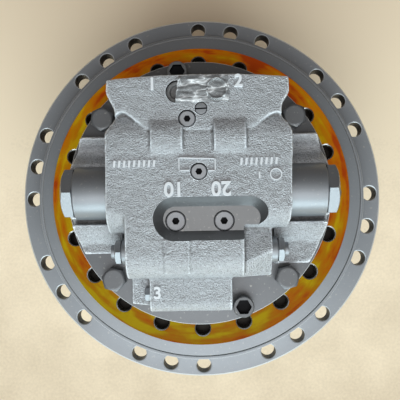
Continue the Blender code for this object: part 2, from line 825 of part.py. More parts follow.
def carrier(name, stage, plate, bore, centre_radius, pin_radius, heads):
    """A round plate with its planet pins. heads is the z range of the pins' lower heads."""
    reach = centre_radius + pin_radius + CARRIER_MARGIN
    body = turned(name, ring_profile(bore, reach, *plate), SMALL, STEEL)
    for i, degrees in enumerate(planet_angles()):
        centre = polar(centre_radius, degrees)
        middle = (plate[0] + plate[1]) / 2
        pin = rod(f"planet_pin_{stage}_{i}", pin_radius, heads[0], middle, centre, steps=FINE)
        head = rod(
            f"pin_head_{stage}_{i}", pin_radius + PIN_HEAD_LIP, *heads, centre, steps=FINE
        )
        join(body, pin, head)


def gear_train():
    """Ring gear, two suns, six planets and both carriers."""
    extruded(
        "ring_gear",
        [circle(RING_OUTER * math.cos(math.pi / LARGE), LARGE), gear_outline(RING_TEETH, True)],
        HUB_FOOT,
        RING_TOP,
        STEEL,
    )
    sun_1 = [gear_outline(SUN_1_TEETH, bite_at=math.pi / SUN_1_TEETH)]
    sun_1.append(circle(SHAFT_RADIUS + FIT / math.cos(math.pi / FINE), FINE))
    extruded("sun_gear_1", sun_1, STAGE_1_LOW, STAGE_1_TOP, STEEL)
    shaft_tunnel = clear_of(SHAFT_RADIUS, FINE, RUN)
    sun_2 = extruded(
        "sun_gear_2",
        [gear_outline(SUN_2_TEETH), circle(shaft_tunnel, FINE)],
        STAGE_2_LOW,
        STAGE_2_TOP,
        STEEL,
    )
    sun_2_root = GEAR_MODULE * (SUN_2_TEETH / 2 - DEDENDUM)
    sleeve_radius = sun_2_root - MM
    sleeve = turned(
        "sun_2_sleeve",
        ring_profile(shaft_tunnel, sleeve_radius, CARRIER_1_LOW, STAGE_2_LOW + CARRIER_GAP),
        FINE,
    )
    join(sun_2, sleeve)
    planetary_stage(1, PLANET_1_TEETH, CENTRE_1, STAGE_1_LOW, STAGE_1_TOP, PIN_1_RADIUS)
    planetary_stage(2, PLANET_2_TEETH, CENTRE_2, STAGE_2_LOW, STAGE_2_TOP, PIN_2_RADIUS)
    head_top = STAGE_1_LOW - RUN
    carrier(
        "planet_carrier_1",
        1,
        (CARRIER_1_LOW, CARRIER_1_TOP),
        clear_of(sleeve_radius, SMALL),
        CENTRE_1,
        PIN_1_RADIUS,
        (head_top - PIN_HEAD, head_top),
    )
    head_top = STAGE_2_LOW - RUN
    carrier(
        "planet_carrier_2",
        2,
        (CARRIER_2_LOW, CARRIER_2_TOP),
        clear_of(SHAFT_JOURNAL, SMALL, RUN),
        CENTRE_2,
        PIN_2_RADIUS,
        (head_top - PIN_HEAD, head_top),
    )


def input_shaft():
    """The shaft that runs from the rear cover down to the first sun gear."""
    tail_low = VALVE_TOP + FIT
    turned(
        "input_shaft",
        [
            (0, tail_low + SHAFT_BEARING_WIDTH),
            (SHAFT_TAIL, tail_low + SHAFT_BEARING_WIDTH),
            (SHAFT_TAIL, tail_low),
            (SHAFT_SPLINE, tail_low),
            (SHAFT_SPLINE, SHOE_LOW),
            (SHAFT_JOURNAL, SHOE_LOW),
            (SHAFT_JOURNAL, CARRIER_2_LOW + RUN),
            (SHAFT_RADIUS, CARRIER_2_LOW + RUN),
            (SHAFT_RADIUS, COVER_TOP + THRUST_PAD_HEIGHT + FIT),
            (0, COVER_TOP + THRUST_PAD_HEIGHT + FIT),
        ],
        FINE,
        STEEL,
        ring=False,
    )
    turned(
        "shaft_bearing_lower",
        ring_profile(
            clear_of(SHAFT_JOURNAL, SMALL),
            SHAFT_BEARING_RADIUS,
            SPIGOT_END,
            SPIGOT_END + SHAFT_BEARING_WIDTH,
        ),
        SMALL,
        STEEL,
    )
    turned(
        "shaft_bearing_upper",
        ring_profile(
            clear_of(SHAFT_TAIL, SMALL),
            SHAFT_TAIL + SHAFT_BEARING_WALL,
            tail_low + FIT,
            tail_low + SHAFT_BEARING_WIDTH,
        ),
        SMALL,
        STEEL,
    )


def cylinder_group():
    """Cylinder block with its pistons, the swash plate they run on and the valve plate."""
    barrel = turned(
        "cylinder_block",
        [
            (BLOCK_RADIUS, BLOCK_TOP),
            (BLOCK_RADIUS, BLOCK_LOW + BLOCK_RELIEF),
            (BLOCK_RADIUS - CARRIER_GAP, BLOCK_LOW + BLOCK_RELIEF),
            (BLOCK_RADIUS - CARRIER_GAP, BLOCK_LOW),
            (clear_of(SHAFT_SPLINE, SMALL), BLOCK_LOW),
            (clear_of(SHAFT_SPLINE, SMALL), BLOCK_TOP),
        ],
        SMALL,
        STEEL,
    )
    for i in range(PISTONS):
        centre = polar(PISTON_CIRCLE, 360 / PISTONS * i)
        shoe_top = SHOE_LOW + SHOE_HEIGHT
        shoe = rod(f"shoe_{i}", SHOE_RADIUS, SHOE_LOW, shoe_top, centre, steps=COARSE)
        neck_low = SHOE_LOW + SHOE_HEIGHT / 2
        crown_low = shoe_top + NECK_HEIGHT
        neck = rod(f"neck_{i}", NECK_RADIUS, neck_low, crown_low + MM, centre, steps=COARSE)
        crown = rod(f"piston_{i}", PISTON_RADIUS, crown_low, BLOCK_LOW + MM, centre, steps=COARSE)
        join(barrel, shoe, neck, crown)
    turned(
        "valve_plate",
        ring_profile(clear_of(SHAFT_SPLINE, SMALL, RUN), BLOCK_RADIUS - MM, VALVE_LOW, VALVE_TOP),
        SMALL,
        BRONZE,
    )
    plate = rod(
        "swash_plate",
        SWASH_RADIUS,
        SWASH_STANDOFF,
        SWASH_STANDOFF + SWASH_THICKNESS,
        steps=MIDDLE,
        finish=STEEL,
    )
    for sign in (-1, 1):
        start, end = sorted((sign * (ROCKER_INNER + MM), sign * (ROCKER_OUTER - MM)))
        rocker = rod(f"rocker_{sign}", ROCKER_RADIUS, start, end, axis="X")
        trim = block(
            f"rocker_trim_{sign}",
            (-SWASH_RADIUS, -SWASH_RADIUS, SWASH_STANDOFF + SWASH_THICKNESS / 2),
            (SWASH_RADIUS, SWASH_RADIUS, SWASH_RADIUS),
        )
        cut(rocker, trim)
        join(plate, rocker)
    tunnel = rod("swash_tunnel", ROCKER_INNER - MM, -SWASH_RADIUS, SWASH_RADIUS)
    cut(plate, tunnel)
    settle(plate)
    plate.location = (0, 0, PIVOT_Z)
    plate.rotation_euler = (SWASH_TILT, 0, 0)


def settle(obj):
    """Applies the modifiers, so that the object can be placed away from its helpers."""
    graph = bpy.context.evaluated_depsgraph_get()
    mesh = bpy.data.meshes.new_from_object(obj.evaluated_get(graph))
    obj.modifiers.clear()
    obj.data = mesh


def parking_brake():
    """Friction plates on the cylinder block, steel plates in the casing, the ring piston that
    a disc spring presses on them, and that spring."""
    friction_inner = clear_of(BLOCK_RADIUS, SMALL)
    friction_outer = BRAKE_BORE_RADIUS - PLATE_GRIP / 2
    steel_inner = BLOCK_RADIUS + PLATE_GRIP
    steel_outer = BRAKE_BORE_RADIUS * math.cos(math.pi / LARGE) - FIT
    z = PLATE_LOW
    for i in (1, 2):
        turned(
            f"brake_friction_plate_{i}",
            ring_profile(friction_inner, friction_outer, z, z + FRICTION_PLATE),
            SMALL,
            LINING,
        )
        z += FRICTION_PLATE + FIT
        turned(
            f"brake_steel_plate_{i}",
            ring_profile(steel_inner, steel_outer, z, z + STEEL_PLATE),
            SMALL,
            STEEL,
        )
        z += STEEL_PLATE + FIT
    inner = BRAKE_BORE_RADIUS - BRAKE_PISTON_WALL
    top = z + BRAKE_PISTON_HEIGHT
    turned(
        "brake_piston",
        [
            (steel_outer, top),
            (steel_outer, z + PLATE_GRIP),
            (steel_outer - MM, z),
            (inner + PLATE_GRIP, z),
            (inner, z + PLATE_GRIP),
            (inner, top),
        ],
        SMALL,
        STEEL,
    )
    low = top + FIT
    turned(
        "brake_disc_spring",
        [
            (inner + PLATE_GRIP, CASING_TOP),
            (steel_outer - MM, low + SPRING_THICKNESS),
            (steel_outer - MM, low),
            (inner + PLATE_GRIP, CASING_TOP - SPRING_THICKNESS),
        ],
        SMALL,
        DARK,
    )


def valve_body(root, top):
    """The middle of the block: a low round shoulder to the south, a long one to the north that
    runs under the port block, and that block with its waist and its bowed north wall."""
    quarter = [math.pi / 2 * i / ROUND_STEPS for i in range(ROUND_STEPS + 1)]
    south = [
        (
            MIDDLE_SOUTH + SOUTH_SHOULDER * (1 - math.sin(a)),
            top - SOUTH_SHOULDER * (1 - math.cos(a)),
        )
        for a in quarter
    ]
    north = [
        (MIDDLE_NORTH + NORTH_SHOULDER * math.sin(a), top - NORTH_FALL * (1 - math.cos(a)))
        for a in quarter
    ]
    outline = north + [(north[-1][0], root), (MIDDLE_SOUTH, root)] + south[::-1]
    middle = along_x("middle_body", outline, -MIDDLE_HALF_WIDTH - MM, MIDDLE_HALF_WIDTH + MM)
    end = MIDDLE_NORTH + NORTH_SHOULDER + MM
    east = [
        (MIDDLE_HALF_WIDTH, MIDDLE_SOUTH - MM),
        (MIDDLE_HALF_WIDTH, MIDDLE_CORNER),
        (PORT_WAIST, PORT_NECK),
        (PORT_WAIST, end),
    ]
    plan = extruded("middle_plan", [east + mirrored(east)], root - MM, top + MM)
    combine(middle, "INTERSECT", plan)
    flare = []
    for i in range(1, ROUND_STEPS):
        angle = math.pi / 2 * i / (ROUND_STEPS - 1)
        out = (PORT_HALF_WIDTH - PORT_WAIST) * (1 - math.cos(angle))
        up = (PORT_SHOULDER - PORT_NECK) * math.sin(angle)
        flare.append((PORT_WAIST + out, PORT_NECK + up))
    east = list(CREASE[::-1]) + [(PORT_WAIST, PORT_NECK)] + flare + [(PORT_HALF_WIDTH, PORT_NORTH)]
    east.append((PORT_HALF_WIDTH / 2, PORT_NORTH + PORT_BOW * 3 / 4))
    outline = east + [(0, PORT_NORTH + PORT_BOW)] + mirrored(east)
    ports = extruded("port_block", [outline], root, top - 2 * CAST_STEP)
    return middle, ports


def mirrored(points):
    """The same points on the other side of the YZ plane, in the order that goes on round."""
    return [(-x, y) for x, y in points[::-1]]


def side_castings(root):
    """Lugs north of the side bosses, with a valley along X, and feet south of them, which slope
    down to a step. Both end at the base's round edge."""
    pieces = []
    edge = rod("side_edge", BASE_RADIUS - SIDE_TRIM, root - MM, BLOCK_FACE, steps=LARGE)
    for side, sign in (("west", -1), ("east", 1)):
        lug = [
            (LUG_NORTH, root),
            (LUG_NORTH, BASE_TOP + LUG_RISE - MM),
            (LUG_CREST, BASE_TOP + LUG_RISE),
            (LUG_VALLEY[0], BASE_TOP + LUG_VALLEY[1]),
            (BOSS_RADIUS, BASE_TOP + LUG_RISE),
            (0, BASE_TOP + LUG_RISE),
            (0, root),
        ]
        start, end = sorted((sign * LUG_START, sign * BASE_RADIUS))
        pieces.append(along_x(f"lug_{side}", lug[::-1], start, end))
        inner, foot_end = FEET[side]
        foot = [
            (0, root),
            (0, BASE_TOP + FOOT_TOE[1]),
            (FOOT_TOE[0], BASE_TOP + FOOT_TOE[1]),
            (FOOT_STEP[0], BASE_TOP + FOOT_STEP[1]),
            (foot_end, BASE_TOP + FOOT_STEP[1]),
            (foot_end, root),
        ]
        start, end = sorted((sign * inner, sign * BASE_RADIUS))
        pieces.append(along_x(f"foot_{side}", foot, start, end))
    for piece in pieces:
        combine(piece, "INTERSECT", edge)
    return pieces


def rear_cover():
    """The valve block. Its top carries the ports, plugs and the long machined recess."""
    rear_bearing = clear_of(SHAFT_TAIL + SHAFT_BEARING_WALL, LARGE)
    boss_low = VALVE_TOP + FIT
    bearing_end = boss_low + SHAFT_BEARING_WIDTH + 2 * FIT
    body = turned(
        "rear_cover",
        [
            (0, BASE_TOP),
            (BASE_RADIUS, BASE_TOP),
            (BASE_RADIUS, BASE_LOW),
            (BLOCK_RADIUS, BASE_LOW),
            (BLOCK_RADIUS, boss_low),
            (rear_bearing, boss_low),
            (rear_bearing, bearing_end),
            (0, bearing_end),
        ],
        LARGE,
        PAINT,
        ring=False,
    )
    root = BASE_TOP - CARRIER_GAP
    top = BLOCK_FACE
    spool_z = top - SPOOL_DROP
    speed_z = BASE_TOP + SPEED_RISE
    boss_z = BASE_TOP + BOSS_RISE
    join(body, *side_castings(root))
    south = block(
        "south_body",
        (SOUTH_WEST, SOUTH_EDGE, root),
        (SOUTH_EAST, RECESS_NORTHING, top - CAST_STEP),
        [("-Y", "+Z")],
        SOUTH_ROUND,
    )
    step = block(
        "south_step",
        (SOUTH_EAST - MM, SOUTH_EDGE + MM, root),
        (STEP_EAST, MIDDLE_SOUTH + MM, top - STEP_DROP),
        [("-Y", "+Z")],
        SOUTH_ROUND - STEP_DROP / 2,
    )
    join(body, *valve_body(root, top), south, step)
    for i, x in enumerate(SADDLE_CENTRES):
        saddle = rod(
            f"saddle_{i}",
            SADDLE_ROUND,
            x - SADDLE_LENGTH / 2,
            x + SADDLE_LENGTH / 2,
            (SADDLE_NORTHING, top - SADDLE_DROP),
            "X",
            MIDDLE,
        )
        join(body, saddle)
    rib = rod("rib", RIB_RADIUS, RIB_SOUTH, RIB_NORTH, steps=FINE)
    rib.matrix_world = Matrix.Translation((RIB_CENTRE, 0, top - RIB_RADIUS + RIB_RISE)) @ (
        Matrix.Rotation(-math.pi / 2, 4, "X")
    )
    pilot = block(
        "pilot_block",
        (PILOT_WEST, PILOT_SOUTH, root),
        (PILOT_EAST, SOUTH_EDGE + CARRIER_GAP, BASE_TOP + PILOT_RISE),
        [("-Y", "+Z")],
        PILOT_ROUND,
        EDGE_STEPS,
    )
    ledge = block(
        "pilot_ledge",
        (LEDGE_WEST, LEDGE_SOUTH, root),
        (PILOT_WEST + MM, SOUTH_EDGE + CARRIER_GAP, BASE_TOP + LEDGE_RISE),
    )
    join(body, rib, pilot, ledge)
    for side, sign in (("west", -1), ("east", 1)):
        start, end = sorted((sign * (MIDDLE_HALF_WIDTH - CARRIER_GAP), sign * BOSS_REACH))
        boss = rod(f"relief_boss_{side}", BOSS_RADIUS, start, end, (0, boss_z), "X")
        out = BOSS_REACH + RELIEF_HEAD + CARRIER_GAP
        start, end = sorted((sign * (BOSS_REACH + FIT), sign * out))
        spotface = rod(f"spotface_{side}", SPOTFACE_RADIUS, start, end, (0, boss_z), "X")
        start, end = sorted((sign * (BOSS_REACH - RELIEF_DEPTH), sign * out))
        bore = rod(
            f"relief_bore_{side}", clear_of(RELIEF_BORE, FINE), start, end, (0, boss_z), "X", FINE
        )
        join(body, boss)
        cut(body, spotface, bore)
    recess = recess_cutter(top)
    spool_bore = rod(
        "spool_bore",
        clear_of(SPOOL_RADIUS, FINE),
        SOUTH_WEST - CARRIER_GAP,
        STEP_EAST + CARRIER_GAP,
        (SPOOL_NORTHING, spool_z),
        "X",
        FINE,
    )
    speed_bore = rod(
        "speed_bore",
        clear_of(SPEED_RADIUS, FINE),
        PILOT_WEST - CARRIER_GAP,
        PILOT_WEST + SPEED_LENGTH + SPEED_STROKE + CARRIER_GAP,
        (SPEED_NORTHING, speed_z),
        "X",
        FINE,
    )
    speed_pocket = block(
        "speed_cap_pocket",
        (LEDGE_WEST - MM, SPEED_NORTHING - SPEED_CAP_ACROSS, BASE_TOP),
        (PILOT_WEST, SPEED_NORTHING + SPEED_CAP_ACROSS, BASE_TOP + PILOT_RISE),
    )
    cut(body, recess, spool_bore, speed_bore, speed_pocket)
    for i, centre in enumerate(cover_bolt_places()):
        hole = rod(
            f"cover_bolt_hole_{i}",
            clear_of(BOLT_RADIUS, COARSE),
            boss_low,
            BASE_TOP + CARRIER_GAP,
            centre,
            steps=COARSE,
        )
        seat = rod(
            f"cover_bolt_seat_{i}",
            clear_of(HEX_ACROSS / math.sqrt(3), FINE, MM),
            BASE_TOP,
            top,
            centre,
            steps=FINE,
        )
        cut(body, seat, hole)
    recess_floor = top - RECESS_DEPTH
    plugs = [
        ("gallery_plug", *GALLERY_PLUG, top),
        ("middle_plug", *MIDDLE_PLUG, top),
        ("recess_plug_west", RECESS_PLUGS[0], RECESS_PLUG_RADIUS, recess_floor),
        ("recess_plug_east", RECESS_PLUGS[1], RECESS_PLUG_RADIUS, recess_floor),
        ("bleed_screw", *BLEED_SCREW, top),
    ]
    for name, centre, radius, face in plugs:
        plug_in(body, name, centre, radius, face)
    for letter, centre in zip("ab", PORT_PLACES):
        hole = rod(
            f"port_hole_{letter}",
            clear_of(PORT_RADIUS, SMALL),
            top - PORT_DEPTH - FIT,
            top + PORT_DEPTH,
            centre,
        )
        cut(body, hole)
        rod(
            f"port_plug_{letter}",
            PORT_RADIUS,
            top - PORT_DEPTH,
            top - PORT_SINK,
            centre,
            finish=PLASTIC,
        )


def recess_cutter(top):
    """The long recess: round ends and drafted walls, lofted from its floor to above its mouth."""
    quarter = [90 * i / ROUND_STEPS for i in range(-ROUND_STEPS, ROUND_STEPS + 1)]
    shape = bmesh.new()
    loops = []
    for side in (-1, 1):
        radius = RECESS_RADIUS + side * RECESS_DRAFT
        z = top + side * RECESS_DEPTH
        ring = []
        for degrees in quarter:
            x, y = polar(radius, degrees)
            ring.append(shape.verts.new((RECESS_EAST + x, RECESS_NORTHING + y, z)))
        for degrees in quarter:
            x, y = polar(radius, degrees + 180)
            ring.append(shape.verts.new((RECESS_WEST + x, RECESS_NORTHING + y, z)))
        loops.append(ring)
    floor, mouth = loops
    count = len(floor)
    for i in range(count):
        after = (i + 1) % count
        shape.faces.new((floor[i], floor[after], mouth[after], mouth[i]))
    shape.faces.new(floor[::-1])
    shape.faces.new(mouth)
    mesh = bpy.data.meshes.new("recess")
    shape.to_mesh(mesh)
    shape.free()
    return made_object("recess", mesh)


def plug_in(body, name, centre, radius, face):
    """A flush plug in a blind hole of the block, with a hex socket or a screwdriver slot."""
    low = face - TOP_PLUG_DEPTH
    open_end = BLOCK_FACE + RECESS_DEPTH
    hole = rod(name + "_hole", clear_of(radius, FINE), low - FIT, open_end, centre, steps=FINE)
    cut(body, hole)
    plug = rod(name, radius, low, face - TOP_PLUG_SINK, centre, steps=FINE, finish=STEEL)
    above = face + SOCKET_DEPTH
    if name == "bleed_screw":
        tool = block(
            name + "_slot",
            (centre[0] - 2 * radius, centre[1] - BLEED_SLOT / 2, face - SOCKET_DEPTH / 2),
            (centre[0] + 2 * radius, centre[1] + BLEED_SLOT / 2, above),
        )
    else:
        outline = hexagon(SOCKET_ACROSS, centre)
        tool = extruded(name + "_socket", [outline], face - SOCKET_DEPTH, above)
    cut(plug, tool)


def relief_valves():
    """Two cartridges, screwed into the side bosses, with a large hexagon outside."""
    boss_z = BASE_TOP + BOSS_RISE
    for side, sign in (("west", -1), ("east", 1)):
        head = extruded(
            f"relief_valve_{side}",
            [hexagon(RELIEF_ACROSS)],
            BOSS_REACH + FIT * 2,
            BOSS_REACH + RELIEF_HEAD,
            STEEL,
        )
        stem_end = BOSS_REACH - RELIEF_DEPTH + FIT
        neck = BOSS_REACH + CARRIER_GAP
        stem = rod(f"relief_stem_{side}", RELIEF_BORE, stem_end, neck, steps=FINE)
        join(head, stem)
        settle(head)
        head.location = (0, 0, boss_z)
        head.rotation_euler = (0, sign * math.pi / 2, 0)


def valve_spools():
    """The counterbalance spool between its two caps, and the speed spool behind its own."""
    spool_z = BLOCK_FACE - SPOOL_DROP
    groove = SPOOL_RADIUS - SPOOL_GROOVE
    land = SPOOL_HALF_LENGTH / SPOOL_LANDS
    profile = [(0, SPOOL_HALF_LENGTH), (SPOOL_RADIUS, SPOOL_HALF_LENGTH)]
    for start in (3, 0):
        profile += [
            (SPOOL_RADIUS, land * (start + 1)),
            (groove, land * (start + 1)),
            (groove, land * (start - 1)),
            (SPOOL_RADIUS, land * (start - 1)),
        ]
    profile += [(SPOOL_RADIUS, -SPOOL_HALF_LENGTH), (0, -SPOOL_HALF_LENGTH)]
    spool = turned("counterbalance_spool", profile, FINE, STEEL, ring=False)
    spool.rotation_euler = (0, math.pi / 2, 0)
    spool.location = (0, SPOOL_NORTHING, spool_z)
    for side, sign, face in (("west", -1, -SOUTH_WEST), ("east", 1, STEP_EAST)):
        plug_end = SPOOL_HALF_LENGTH + SPOOL_STROKE + FIT
        neck = face + 2 * FIT
        cap = rod(f"spool_cap_{side}", SPOOL_RADIUS, plug_end, neck, steps=FINE, finish=DARK)
        seat = face + FIT
        collar_top = face + CAP_COLLAR
        collar = rod(f"cap_collar_{side}", CAP_COLLAR_RADIUS, seat, collar_top, steps=FINE)
        inside = collar_top - CAP_COLLAR / 2
        head_top = collar_top + CAP_HEAD
        head = extruded(f"cap_head_{side}", [hexagon(CAP_ACROSS)], inside, head_top)
        inside = head_top - CAP_HEAD / 2
        tip = rod(f"cap_tip_{side}", CAP_TIP_RADIUS, inside, head_top + CAP_TIP, steps=FINE)
        join(cap, collar, head, tip)
        settle(cap)
        cap.rotation_euler = (0, sign * math.pi / 2, 0)
        cap.location = (0, SPOOL_NORTHING, spool_z)
    speed_z = BASE_TOP + SPEED_RISE
    rest_end = PILOT_WEST + CAP_TIP + FIT
    speed = rod(
        "speed_spool", SPEED_RADIUS, -SPEED_LENGTH / 2, SPEED_LENGTH / 2, steps=FINE, finish=STEEL
    )
    waist = turned(
        "speed_waist",
        ring_profile(SPEED_RADIUS / 2, 2 * SPEED_RADIUS, -SPEED_WAIST / 2, SPEED_WAIST / 2),
        FINE,
    )
    cut(speed, waist)
    settle(speed)
    speed.rotation_euler = (0, math.pi / 2, 0)
    speed.location = (rest_end + SPEED_LENGTH / 2, SPEED_NORTHING, speed_z)
    cap = rod("speed_spool_cap", SPEED_RADIUS, -CAP_TIP, MM, steps=FINE, finish=DARK)
    head = extruded("speed_cap_head", [hexagon(SPEED_CAP_ACROSS)], FIT, SPEED_CAP_HEAD)
    join(cap, head)
    settle(cap)
    cap.rotation_euler = (0, -math.pi / 2, 0)
    cap.location = (PILOT_WEST, SPEED_NORTHING, speed_z)


def cover_fasteners():
    """Four hex bolts and two socket-head screws hold the rear cover to the casing."""
    shank_low = CASING_TOP - BOLT_GRIP
    neck = BASE_TOP + MM
    for i, degrees in enumerate(HEX_BOLT_ANGLES):
        centre = polar(BOLT_CIRCLE, degrees)
        name = f"cover_bolt_{i + 1}"
        bolt = rod(name, BOLT_RADIUS, shank_low, neck, centre, steps=COARSE, finish=PAINT)
        head = extruded(
            f"bolt_head_{i}",
            [hexagon(HEX_ACROSS, centre, math.radians(degrees))],
            BASE_TOP + FIT,
            BASE_TOP + HEX_HEAD,
        )
        join(bolt, head)
    for i, degrees in enumerate(SCREW_ANGLES):
        centre = polar(BOLT_CIRCLE, degrees)
        top = BASE_TOP + SCREW_HEAD
        name = f"cover_screw_{i + 1}"
        screw = rod(name, BOLT_RADIUS, shank_low, neck, centre, steps=COARSE, finish=DARK)
        head = rod(f"screw_head_{i}", SCREW_HEAD_RADIUS, BASE_TOP + FIT, top, centre, steps=FINE)
        socket = extruded(
            f"screw_socket_{i}", [hexagon(SCREW_SOCKET, centre)], top - SCREW_SOCKET_DEPTH, top + MM
        )
        join(screw, head)
        cut(screw, socket)


def build():
    for old in list(bpy.data.objects):
        bpy.data.objects.remove(old, do_unlink=True)
    for collection in (PARTS, CUTTERS):
        bpy.context.scene.collection.children.link(collection)
    gearbox_cover()
    hub()
    spindle()
    floating_seal()
    main_bearings()
    gear_train()
    input_shaft()
    cylinder_group()
    parking_brake()
    rear_cover()
    relief_valves()
    valve_spools()
    cover_fasteners()


build()
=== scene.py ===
import json
import math

import bmesh
import bpy
from mathutils import Matrix, Vector, noise


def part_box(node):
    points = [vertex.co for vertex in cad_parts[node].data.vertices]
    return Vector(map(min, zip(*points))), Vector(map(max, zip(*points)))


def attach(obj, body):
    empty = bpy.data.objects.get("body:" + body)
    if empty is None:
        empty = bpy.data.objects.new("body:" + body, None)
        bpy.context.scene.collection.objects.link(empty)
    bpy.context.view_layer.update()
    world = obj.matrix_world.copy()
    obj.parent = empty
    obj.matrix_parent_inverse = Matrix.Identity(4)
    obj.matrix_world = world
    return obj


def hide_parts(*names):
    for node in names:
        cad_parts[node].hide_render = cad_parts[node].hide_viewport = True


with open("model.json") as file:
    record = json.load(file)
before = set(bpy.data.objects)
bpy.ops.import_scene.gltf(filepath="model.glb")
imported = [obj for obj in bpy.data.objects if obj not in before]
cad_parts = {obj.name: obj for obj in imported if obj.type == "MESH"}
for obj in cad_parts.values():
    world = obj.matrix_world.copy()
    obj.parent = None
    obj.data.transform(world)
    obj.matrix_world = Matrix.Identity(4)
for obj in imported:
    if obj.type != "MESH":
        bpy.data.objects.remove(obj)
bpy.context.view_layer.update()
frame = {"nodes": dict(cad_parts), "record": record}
MM = 0.001


# Set-up: a plain pale board on the floor, a wide low window to the south, two softer lights above,
# and a camera straight above the drive, a little off its axis, as the photograph was taken.
CAMERA_PLACE = (11.668 * MM, -32.511 * MM, 959.3 * MM)
CAMERA_TURN = (0.0386, 0.0187, -0.0176)
LENS = 53.44
FLOOR_REACH = 6.0


def node_of(tree, kind, **settings):
    """A new shader or geometry node, with its plain settings made."""
    made = tree.nodes.new(kind)
    for name, value in settings.items():
        setattr(made, name, value)
    return made


def feed(tree, socket, source):
    """Sets a socket to a plain value, or links it to another socket."""
    if isinstance(source, bpy.types.NodeSocket):
        tree.links.new(source, socket)
    else:
        socket.default_value = source


def linked(tree, kind, **inputs):
    """A new node with its inputs fed."""
    made = node_of(tree, kind)
    for label, source in inputs.items():
        feed(tree, made.inputs[label], source)
    return made


def worked(tree, operation, *sources):
    """The result of one Math node."""
    step = node_of(tree, "ShaderNodeMath", operation=operation)
    for socket, source in zip(step.inputs, sources):
        feed(tree, socket, source)
    return step.outputs["Value"]


def noise_of(tree, place, scale, detail=3.0, dimensions="3D"):
    texture = node_of(tree, "ShaderNodeTexNoise", noise_dimensions=dimensions)
    feed(tree, texture.inputs["W" if dimensions == "1D" else "Vector"], place)
    feed(tree, texture.inputs["Scale"], scale)
    feed(tree, texture.inputs["Detail"], detail)
    return texture.outputs["Fac"]


def mixed(tree, amount, first, second, blend="MIX"):
    """A colour that runs from the first to the second with an amount from 0 to 1."""
    mix = node_of(tree, "ShaderNodeMix", data_type="RGBA", blend_type=blend)
    feed(tree, mix.inputs["Factor"], amount)
    for label, colour in (("A", first), ("B", second)):
        feed(tree, mix.inputs[label], (*colour, 1) if isinstance(colour, tuple) else colour)
    return mix.outputs["Result"]


def object_place(tree):
    return node_of(tree, "ShaderNodeTexCoord").outputs["Object"]


def axes_of(tree, place):
    """The X, Y and Z of a place."""
    return tuple(linked(tree, "ShaderNodeSeparateXYZ", Vector=place).outputs)


def plain_material(name, colour, roughness, metallic=0.0):
    made = bpy.data.materials.new(name)
    made.use_nodes = True
    shader = made.node_tree.nodes["Principled BSDF"]
    shader.inputs["Base Color"].default_value = (*colour, 1)
    shader.inputs["Roughness"].default_value = roughness
    shader.inputs["Metallic"].default_value = metallic
    return made, made.node_tree, shader


board, tree, shader = plain_material("board", (0.74, 0.62, 0.46), 0.85)
where = object_place(tree)
grain = noise_of(tree, where, 240.0, 4.0)
grain = worked(tree, "MULTIPLY_ADD", grain, 0.7, noise_of(tree, where, 14.0, 6.0))
# The board's colour grows paler towards the north: painted light against the shade that falls there.
floor_painted_light = worked(tree, "MULTIPLY_ADD", axes_of(tree, where)[1], 2.1, grain)
feed(tree, shader.inputs["Base Color"], mixed(tree, floor_painted_light, (0.67, 0.54, 0.385), (0.98, 0.815, 0.60)))

bpy.ops.mesh.primitive_plane_add(size=FLOOR_REACH)
floor = bpy.context.object
floor.name = "floor"
floor.data.materials.append(board)


def new_object(name, data):
    """An object that shows in the scene."""
    made = bpy.data.objects.new(name, data)
    bpy.context.scene.collection.objects.link(made)
    return made


camera = new_object("camera", bpy.data.cameras.new("camera"))
camera.location = CAMERA_PLACE
camera.rotation_euler = CAMERA_TURN
camera.data.lens = LENS
camera.data.clip_start = 0.01
bpy.context.scene.camera = camera


def soft_light(name, place, target, width, height, power, colour):
    """A wide rectangular light that faces its target."""
    lamp = bpy.data.lights.new(name, "AREA")
    lamp.shape = "RECTANGLE"
    lamp.size = width
    lamp.size_y = height
    lamp.energy = power
    lamp.color = colour
    holder = new_object(name, lamp)
    holder.location = place
    aim = Vector(target) - Vector(place)
    holder.rotation_euler = aim.to_track_quat("-Z", "Y").to_euler()


soft_light("window", (0.1, -2.4, 1.35), (0, 0, 0.3), 2.8, 1.3, 82, (0.81, 0.965, 1.0))
soft_light("skylight", (0.0, -1.15, 2.5), (0, 0, 0.3), 2.4, 1.5, 39, (0.96, 0.985, 1.0))
soft_light("ceiling", (0.0, 0.15, 2.6), (0, 0.1, 0.3), 1.3, 1.0, 6, (1.0, 0.97, 0.94))
world = bpy.data.worlds.new("room")
bpy.context.scene.world = world
world.use_nodes = True
world.node_tree.nodes["Background"].inputs["Color"].default_value = (0.085, 0.07, 0.06, 1)
bpy.context.scene.view_settings.view_transform = "Standard"


# Inner steel pieces: gears, races, shafts and plates. They are turned and ground from bar and
# forgings, then oiled. They keep their solid shapes, because the housings close over them.
def shader_group(name, outputs, **inputs):
    """An empty shader node group with its outputs' names and its inputs' names and values."""
    group = bpy.data.node_groups.new(name, "ShaderNodeTree")
    for label, value in inputs.items():
        group.interface.new_socket(label, socket_type="NodeSocketFloat").default_value = value
    for label in outputs:
        group.interface.new_socket(label, in_out="OUTPUT", socket_type="NodeSocketFloat")
    return group, node_of(group, "NodeGroupOutput").inputs


def bumped(tree, shader, height, distance):
    bump = linked(tree, "ShaderNodeBump", Height=height, Distance=distance)
    feed(tree, shader.inputs["Normal"], bump.outputs["Normal"])


def placed(tree, name, **values):
    """A shader group set into a material, with its own values."""
    made = node_of(tree, "ShaderNodeGroup", node_tree=bpy.data.node_groups[name])
    for label, value in values.items():
        feed(tree, made.inputs[label], value)
    return made.outputs


def radius_of(tree, x, y):
    squares = worked(tree, "MULTIPLY_ADD", x, x, worked(tree, "MULTIPLY", y, y))
    return worked(tree, "SQRT", squares)


